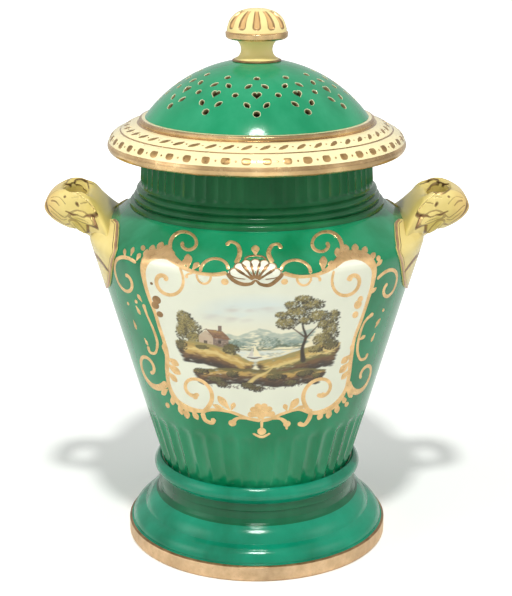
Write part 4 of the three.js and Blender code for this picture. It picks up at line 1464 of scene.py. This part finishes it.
def shell(wall):
    """White petals on a white ground, with their brown-gilt lines and the dabs of the same gilding."""
    petals, lines = Mesh(), Mesh()
    raised = Raised(wall, 0.14)
    patch(petals, wall, places(SHELL_UNDER) + [(9, 4), (0, 4), (-10, 4)], 0.12)
    ribbon(lines, wall, SHELL_UNDER, GILT_RISE * 1.6)
    for u, s, width in DARK_DABS:
        patch(lines, wall, oval(u, s, width, width * 0.85), GILT_RISE * 1.3)
    for tip in SHELL_TIPS:
        outline = blade(SHELL_BASE, tip, 5.4, PETAL_FORM)
        patch(petals, wall, outline, 0.22)
        ribbon(lines, raised, [(*p, 0.75) for p in outline[1:-1]], 0.14)
    for tips in zip(SHELL_TIPS, SHELL_TIPS[1:]):
        rib = [(*mix(np.array(SHELL_BASE), np.mean(tips, axis=0), t), width)
               for t, width in ((0.1, 1.8), (0.48, 1.3), (0.86, 0.6))]
        ribbon(lines, raised, rib, 0.16)
    ribbon(lines, wall, arch((-7, 8.6), (5.4, 8.6), 3.4, 1.3))
    petals.piece("shell_petals", [WHITE], "jar", slot="green_glaze")
    lines.piece("shell_lines", [DARK_GOLD], "jar", slot="green_glaze")


# Landscape in the reserve: a lake below far hills, a cottage on a knoll and a spreading tree

PAINT_STEP = 0.45  # mm between the points that carry the colours
PAINT_FOOT, PAINT_TOP = (-52, -85.5), (54, -14)
INK, DARK_LEAF, LEAF, PALE_LEAF = srgb(56, 44, 32), srgb(70, 66, 38), srgb(110, 100, 54), srgb(160, 144, 84)
OCHRE, STRAW, BROWN, EARTH = srgb(192, 156, 82), srgb(222, 196, 124), srgb(112, 80, 46), srgb(78, 56, 36)
MIST, FAR_HILL, FAR_WOOD = srgb(176, 186, 170), srgb(140, 158, 146), srgb(92, 108, 86)
STONE, STONE_SHADE, RUSSET = srgb(196, 172, 144), srgb(124, 98, 84), srgb(138, 92, 58)
WATER, WATER_SHADE = srgb(214, 220, 212), srgb(150, 160, 146)
SKY_HIGH, SKY_LOW, CLOUD = srgb(216, 226, 220), srgb(242, 230, 190), srgb(206, 198, 186)
FOLIAGE = [INK, DARK_LEAF, LEAF, PALE_LEAF]


class Canvas:
    """Paint laid in dabs on a grid of the unrolled wall."""

    def __init__(self):
        self.u = np.arange(PAINT_FOOT[0], PAINT_TOP[0], PAINT_STEP)
        self.s = np.arange(PAINT_FOOT[1], PAINT_TOP[1], PAINT_STEP)
        self.colour = np.tile(np.array(RESERVE_TINT), (len(self.s), len(self.u), 1))
        self.random = np.random.default_rng(11)

    def dab(self, u, s, length, width, lean, colour, strength=0.8):
        reach = max(length, width) / 2 + PAINT_STEP
        i0, i1 = np.searchsorted(self.u, (u - reach, u + reach))
        j0, j1 = np.searchsorted(self.s, (s - reach, s + reach))
        x, y = self.u[i0:i1] - u, self.s[j0:j1, None] - s
        turn = math.radians(lean)
        along = (x * math.cos(turn) + y * math.sin(turn)) / (length / 2)
        across = (y * math.cos(turn) - x * math.sin(turn)) / (width / 2)
        cover = strength * np.clip(1.5 * (1 - np.hypot(along, across)), 0, 1)
        area = self.colour[j0:j1, i0:i1]
        area += (np.array(colour) - area) * cover[..., None]

    def tone(self, colours, share, ragged):
        """The colour at a share of a list, its borders left ragged."""
        step = min(int(share * len(colours) + self.random.uniform(-ragged, ragged)), len(colours) - 1)
        return colours[max(step, 0)]

    def scatter(self, count, low, high, size, colours, lean=0, strength=0.7, flat=0.5):
        """Dabs in a box, whose colours run from its foot to its top."""
        for _ in range(count):
            u = self.random.uniform(low[0], high[0])
            share = self.random.random()
            colour = self.tone(colours, share, 0.4)
            long = size * self.random.uniform(0.6, 1.3)
            turn = lean + self.random.uniform(-14, 14)
            self.dab(u, mix(low[1], high[1], share), long, long * flat, turn, colour, strength)

    def ground(self, top, depth, colours, count, size=4.0):
        """A bank below a line of points, its strokes lying along the slope."""
        line = np.array(top, float)
        left, right = line[0, 0], line[-1, 0]
        for _ in range(count):
            u = self.random.uniform(left, right)
            edge, further = np.interp((u, u + 1), *line.T)
            ends = min(1, (u - left) / 5 + 0.2, (right - u) / 5 + 0.2)
            share = self.random.random()
            colour = self.tone(colours, share, 0.5)
            long = size * self.random.uniform(0.6, 1.4)
            lean = math.degrees(math.atan(further - edge)) * (1 - share) + self.random.uniform(-6, 6)
            self.dab(u, edge - share * depth * ends, long, long * 0.3, lean, colour, 0.75)

    def foliage(self, u, s, width, height, count, tones, size=1.7):
        """A rounded clump: dark at its foot and right, light towards the upper left."""
        for step, tone in enumerate(tones):
            following = tones[min(step + 1, len(tones) - 1)]
            for _ in range(count):
                turn, out = self.random.uniform(0, TURN), self.random.random() ** 0.55 * (1 - 0.1 * step)
                x = out * width / 2 * math.cos(turn) - 0.05 * width * step
                y = out * height / 2 * math.sin(turn) + 0.07 * height * step
                long = size * self.random.uniform(0.5, 1.2) * (0.9 - 0.1 * step if step else 1.25)
                colour = mix(np.array(tone), np.array(following), self.random.random() * 0.7)
                self.dab(u + x, s + y, long, long * 0.65, self.random.uniform(-50, 50), colour, 0.85)

    def clumps(self, clumps, density):
        for u, s, width, height in clumps:
            self.foliage(u, s, width, height, round(width * height * density), FOLIAGE)

    def stroke(self, points, colour, strength=0.9):
        """A line of dabs through points of u, s and width."""
        for u, s, width in through(points, 0.5):
            self.dab(u, s, width * 1.3, width * 1.3, 0, colour, strength)

    def shape(self, corners, colour, strength=0.85):
        grid = stacked(self.u, self.s[:, None])
        within = inside(grid.reshape(-1, 2), np.array(corners, float)).reshape(grid.shape[:2])
        self.colour[within] += (np.array(colour) - self.colour[within]) * strength

    def box(self, left, foot, right, top, colour, strength):
        self.shape([(left, foot), (left, top), (right, top), (right, foot)], colour, strength)


def sky(canvas):
    u, s = canvas.u, canvas.s[:, None]
    out = np.hypot((u - 1) / 50, (s + 44) / 31)
    cover = np.clip((1 - out) * 3, 0, 0.85)[..., None]
    rise = np.clip((s + 52) / 30, 0, 1)[..., None]
    canvas.colour += (mix(np.array(SKY_LOW), np.array(SKY_HIGH), rise) - canvas.colour) * cover
    for low, high, count in (((-30, -34), (-4, -27), 40), ((-16, -27), (14, -22), 34)):
        canvas.scatter(count, low, high, 9, [CLOUD, SKY_HIGH], 4, 0.16, 0.35)


def distance_and_lake(canvas):
    hills = [(-40, -47), (-24, -41), (-12, -44), (2, -38.5), (16, -43), (34, -41)]
    woods = [(-30, -50), (-14, -48.5), (0, -50), (14, -47), (30, -49)]
    canvas.ground(hills, 9, [MIST, FAR_HILL], 420, 5)
    canvas.ground(woods, 5, [FAR_HILL, FAR_WOOD], 360, 3)
    canvas.foliage(-12, -50, 9, 6, 40, [FAR_WOOD, FAR_HILL], 2)
    canvas.foliage(8, -49, 12, 8, 60, [FAR_WOOD, FAR_HILL, MIST], 2)
    canvas.scatter(260, (-30, -66), (34, -54), 8, [WATER_SHADE, WATER, WATER, WATER], 0, 0.6, 0.16)
    canvas.stroke([(-30, -54.2, 0.7), (0, -53.8, 0.8), (30, -54.2, 0.7)], FAR_WOOD, 0.7)
    canvas.scatter(26, (2, -60), (16, -55.5), 4, [WATER_SHADE, FAR_WOOD], 0, 0.4, 0.2)


def boat(canvas, u, s):
    canvas.shape([(u, s + 1), (u + 4.4, s + 1.4), (u + 0.4, s + 9.5)], SKY_LOW, 0.95)
    canvas.shape([(u - 0.5, s + 1.2), (u - 3, s + 1.4), (u - 0.2, s + 8)], CLOUD, 0.9)
    canvas.stroke([(u - 3.6, s + 0.4, 0.7), (u + 0.5, s - 0.2, 1.2), (u + 4.8, s + 0.5, 0.6)], EARTH)
    canvas.scatter(14, (u - 4, s - 4), (u + 5, s - 1.4), 3.4, [WATER_SHADE, CLOUD], 0, 0.5, 0.2)


def knoll_and_cottage(canvas):
    canvas.clumps([(-44, -36, 11, 12), (-40, -42, 14, 14), (-46, -45, 9, 13), (-37, -49, 12, 9)], 1.2)
    canvas.shape([(-35, -53), (-35, -45.6), (-30.5, -41.4), (-26, -45.6), (-26, -53)], STONE, 0.95)
    canvas.shape([(-26, -53), (-26, -45.6), (-16.5, -46.2), (-16.5, -53)], STONE_SHADE, 0.9)
    canvas.shape([(-30.8, -40.4), (-20.5, -41.2), (-15, -47), (-25.4, -46.6)], RUSSET, 0.9)
    canvas.scatter(60, (-29, -46), (-18, -41.4), 2.2, [EARTH, RUSSET, OCHRE], -30, 0.45, 0.3)
    canvas.scatter(40, (-34.6, -52.6), (-17, -46.4), 1.8, [BROWN, STONE, STONE], 0, 0.4, 0.5)
    canvas.box(-22.8, -41.6, -20.6, -37.4, STONE_SHADE, 0.95)
    canvas.box(-31.8, -52.6, -29.6, -48.6, INK, 0.85)
    canvas.box(-23, -50, -21, -48, INK, 0.85)
    canvas.stroke([(-35.2, -45.4, 0.5), (-30.6, -40.9, 0.6), (-26, -45.6, 0.5)], EARTH)
    bank = [(-49, -52), (-40, -50.5), (-24, -52), (-12, -56.5), (-4, -62.5)]
    canvas.ground(bank, 15, [PALE_LEAF, OCHRE, STRAW, OCHRE, BROWN, EARTH, INK], 1500, 5)
    canvas.foliage(-15, -54, 10, 8, 110, FOLIAGE[:3])
    canvas.foliage(-47, -55, 8, 8, 90, FOLIAGE[:3])
    canvas.foliage(-33, -54, 8, 3, 60, FOLIAGE[1:3])


def spreading_tree(canvas):
    canvas.clumps([(46, -44, 12, 16), (41, -50, 14, 10), (48, -34, 8, 9)], 1.1)
    bank = [(2, -62), (14, -59), (28, -55), (40, -52), (51, -54)]
    canvas.ground(bank, 17, [PALE_LEAF, OCHRE, STRAW, LEAF, BROWN, EARTH, INK], 1700, 5)
    canvas.stroke([(28, -63, 3.4), (27.4, -54, 2.2), (29.4, -46, 1.8), (27.4, -38, 1.4), (29, -27, 0.8)], INK)
    canvas.stroke([(28.6, -48, 1.4), (34, -42, 1.0), (39, -37, 0.6)], EARTH)
    canvas.stroke([(28.6, -46, 1.3), (22, -40, 0.9), (17, -36, 0.6)], EARTH)
    crown = [
        (38, -33, 15, 9), (18, -36, 14, 8), (25, -29, 16, 9), (34, -24, 15, 8), (28, -20, 12, 6),
        (15, -30, 9, 5), (41, -39, 9, 6), (21, -23, 10, 5), (29, -35, 9, 5),
    ]
    canvas.clumps(crown, 1.1)
    canvas.foliage(46, -54, 11, 8, 120, FOLIAGE[:3])
    canvas.foliage(36, -56, 10, 5, 80, FOLIAGE)


def foreground(canvas):
    bank = [(-38, -71), (-22, -68), (-4, -67.5), (12, -70), (28, -68.5), (42, -72)]
    canvas.ground(bank, 11, [LEAF, OCHRE, BROWN, EARTH, INK], 2200, 4)
    canvas.stroke([(-6, -80, 3.0), (-1, -74, 2.4), (6, -70, 1.6), (10, -66, 1.0)], STRAW, 0.5)
    for u, s, width in (
        (-34, -72, 10), (-24, -77, 12), (-14, -72, 8), (-5, -80, 9), (12, -74, 13), (22, -79, 10),
        (30, -73, 12), (38, -76, 7), (0, -82, 10), (-20, -80, 9),
    ):
        canvas.foliage(u, s, width, 4.6, round(width * 9), [INK, INK, DARK_LEAF, LEAF], 1.5)
    for _ in range(110):
        u = canvas.random.uniform(-36, 38)
        s = -79.5 - canvas.random.random() * 3.5 + abs(u) * 0.05
        canvas.dab(u, s, 2.2, 0.9, canvas.random.uniform(-60, 60), EARTH)


def landscape(wall):
    canvas = Canvas()
    sky(canvas)
    distance_and_lake(canvas)
    boat(canvas, -2, -59.5)
    knoll_and_cottage(canvas)
    spreading_tree(canvas)
    foreground(canvas)
    rows, columns = canvas.colour.shape[:2]
    numbers = np.arange(rows * columns).reshape(rows, columns)
    border = np.concatenate([numbers[0], numbers[1:, -1], numbers[-1, -2::-1], numbers[-2:0:-1, 0]])
    on = np.roll(border, -1)
    faces = grid_faces(rows, columns, wrap_columns=False)
    mesh = Mesh()
    mesh.add(wall.place(canvas.u, canvas.s[:, None], 0.09), faces)
    below = mesh.add(wall.place(canvas.u, canvas.s[:, None], 0.03), faces[:, ::-1])
    mesh.join(stacked(on, border, border + below, on + below))
    colour = np.concatenate([canvas.colour, np.ones((rows, columns, 1))], -1).reshape(-1, 4)
    paint = {"paint": np.tile(colour, (2, 1))}
    mesh.piece("painted_landscape", [PAINTED], "jar", slot="green_glaze", colours=paint)


# Stage

FLOOR_COLOUR = (0.885, 0.903, 0.868)
FLOOR_LIFT = (0.13, 0.8)  # light given to what the camera sees of the floor, near the jar and far off
LIFT_REACH = (0.25, 1.1)  # distances between which that light grows
SKY = 0.47  # strength of the even light all round
MIRRORED_SKY = 0.6  # and of what the glaze mirrors of it


def studio_floor():
    reach = 4.0
    mesh = bpy.data.meshes.new("floor")
    corners = [(x * reach, y * reach, 0) for x, y in ((-1, -1), (1, -1), (1, 1), (-1, 1))]
    mesh.from_pydata(corners, [], [(0, 1, 2, 3)])
    material = bpy.data.materials.new("pale_floor")
    mesh.materials.append(material)
    nodes = Nodes(material)
    nodes.tree.nodes.clear()
    place = nodes.node("ShaderNodeTexCoord").outputs["Object"]
    out = nodes.node("ShaderNodeVectorMath", {0: place}, operation="LENGTH").outputs["Value"]
    lift = nodes.range(out, *LIFT_REACH, *FLOOR_LIFT)
    seen = nodes.node("ShaderNodeLightPath").outputs["Is Camera Ray"]
    strength = nodes.node("ShaderNodeMath", {0: seen, 1: lift}, operation="MULTIPLY").outputs[0]
    glow = nodes.node("ShaderNodeEmission", {"Color": (1, 1, 1), "Strength": strength}).outputs[0]
    diffuse = nodes.node("ShaderNodeBsdfDiffuse", {"Color": FLOOR_COLOUR}).outputs[0]
    both = nodes.node("ShaderNodeAddShader", {0: diffuse, 1: glow}).outputs[0]
    nodes.node("ShaderNodeOutputMaterial", {"Surface": both})
    linked("floor", mesh)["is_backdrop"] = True


def world():
    """Even white light, of its own strength for the camera and for what the glaze mirrors."""
    studio = bpy.data.worlds.new("studio")
    bpy.context.scene.world = studio
    nodes = Nodes(studio)
    rays = nodes.node("ShaderNodeLightPath").outputs
    total = SKY
    for ray, strength in (("Is Camera Ray", 1.0), ("Is Glossy Ray", MIRRORED_SKY)):
        sockets = {0: rays[ray], 1: strength - SKY, 2: total}
        total = nodes.node("ShaderNodeMath", sockets, operation="MULTIPLY_ADD").outputs[0]
    background = nodes.tree.nodes["Background"]
    nodes.set(background, "Color", (1, 1, 1))
    nodes.set(background, "Strength", total)


def round_lamp(name, place, width, power, mirrored=True, lights=True):
    """A round lamp that may be left out of what the glaze mirrors, or only be mirrored in it."""
    aim = Vector((0, 0, 0.17))
    data = bpy.data.lights.new(name, "AREA")
    data.shape = "DISK"
    data.size = width
    data.energy = power
    lamp = linked(name, data)
    lamp.location = place
    lamp.rotation_euler = (aim - Vector(place)).to_track_quat("-Z", "Y").to_euler()
    lamp.visible_glossy = mirrored
    lamp.visible_diffuse = lights


def lamps():
    key = (0.01, -0.88, 1.8)  # where the photograph's shadows of the two handles lead back to
    round_lamp("key", key, 0.14, 23, mirrored=False)
    round_lamp("key_screen", key, 0.4, 17, lights=False)
    for side, place, power in (("left", (-1.3, -0.5, 0.7), 6), ("right", (1.3, -0.5, 0.7), 4)):
        round_lamp("side_" + side, place, 1.0, power, mirrored=False)
        round_lamp("side_screen_" + side, place, 0.8, 13, lights=False)


def camera():
    """Fitted to the photograph: the level circles of the foot, collar, shoulder and rim."""
    focal, width = 1490.2, 512  # in pixels of the photograph
    axis_x = 256.78  # where the jar's axis falls across it
    sensor, down = 36, 16.4595
    data = bpy.data.cameras.new("camera")
    data.sensor_fit = "HORIZONTAL"
    data.sensor_width = sensor
    data.lens = focal / width * sensor
    data.shift_x = (width / 2 - axis_x) / width
    eye = linked("camera", data)
    eye.location = (0, -0.9252, 0.43256)
    eye.rotation_euler = (math.radians(90 - down), 0, 0)
    bpy.context.scene.camera = eye


camera()
world()
studio_floor()
lamps()
socle()
vessel()
neck()
cover_rim()
rim_ornament()
dome()
knob()
front = Wall()
reserve(front)
landscape(front)
gilt_frame(front)
shell(front)
handle("handle_right", 1)
handle("handle_left", -1)

scene = bpy.context.scene
scene.view_settings.view_transform = "Standard"

boxes = {"cad": cad_box, "visual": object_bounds()}
{name: [list(corner) for corner in box] for name, box in boxes.items()}
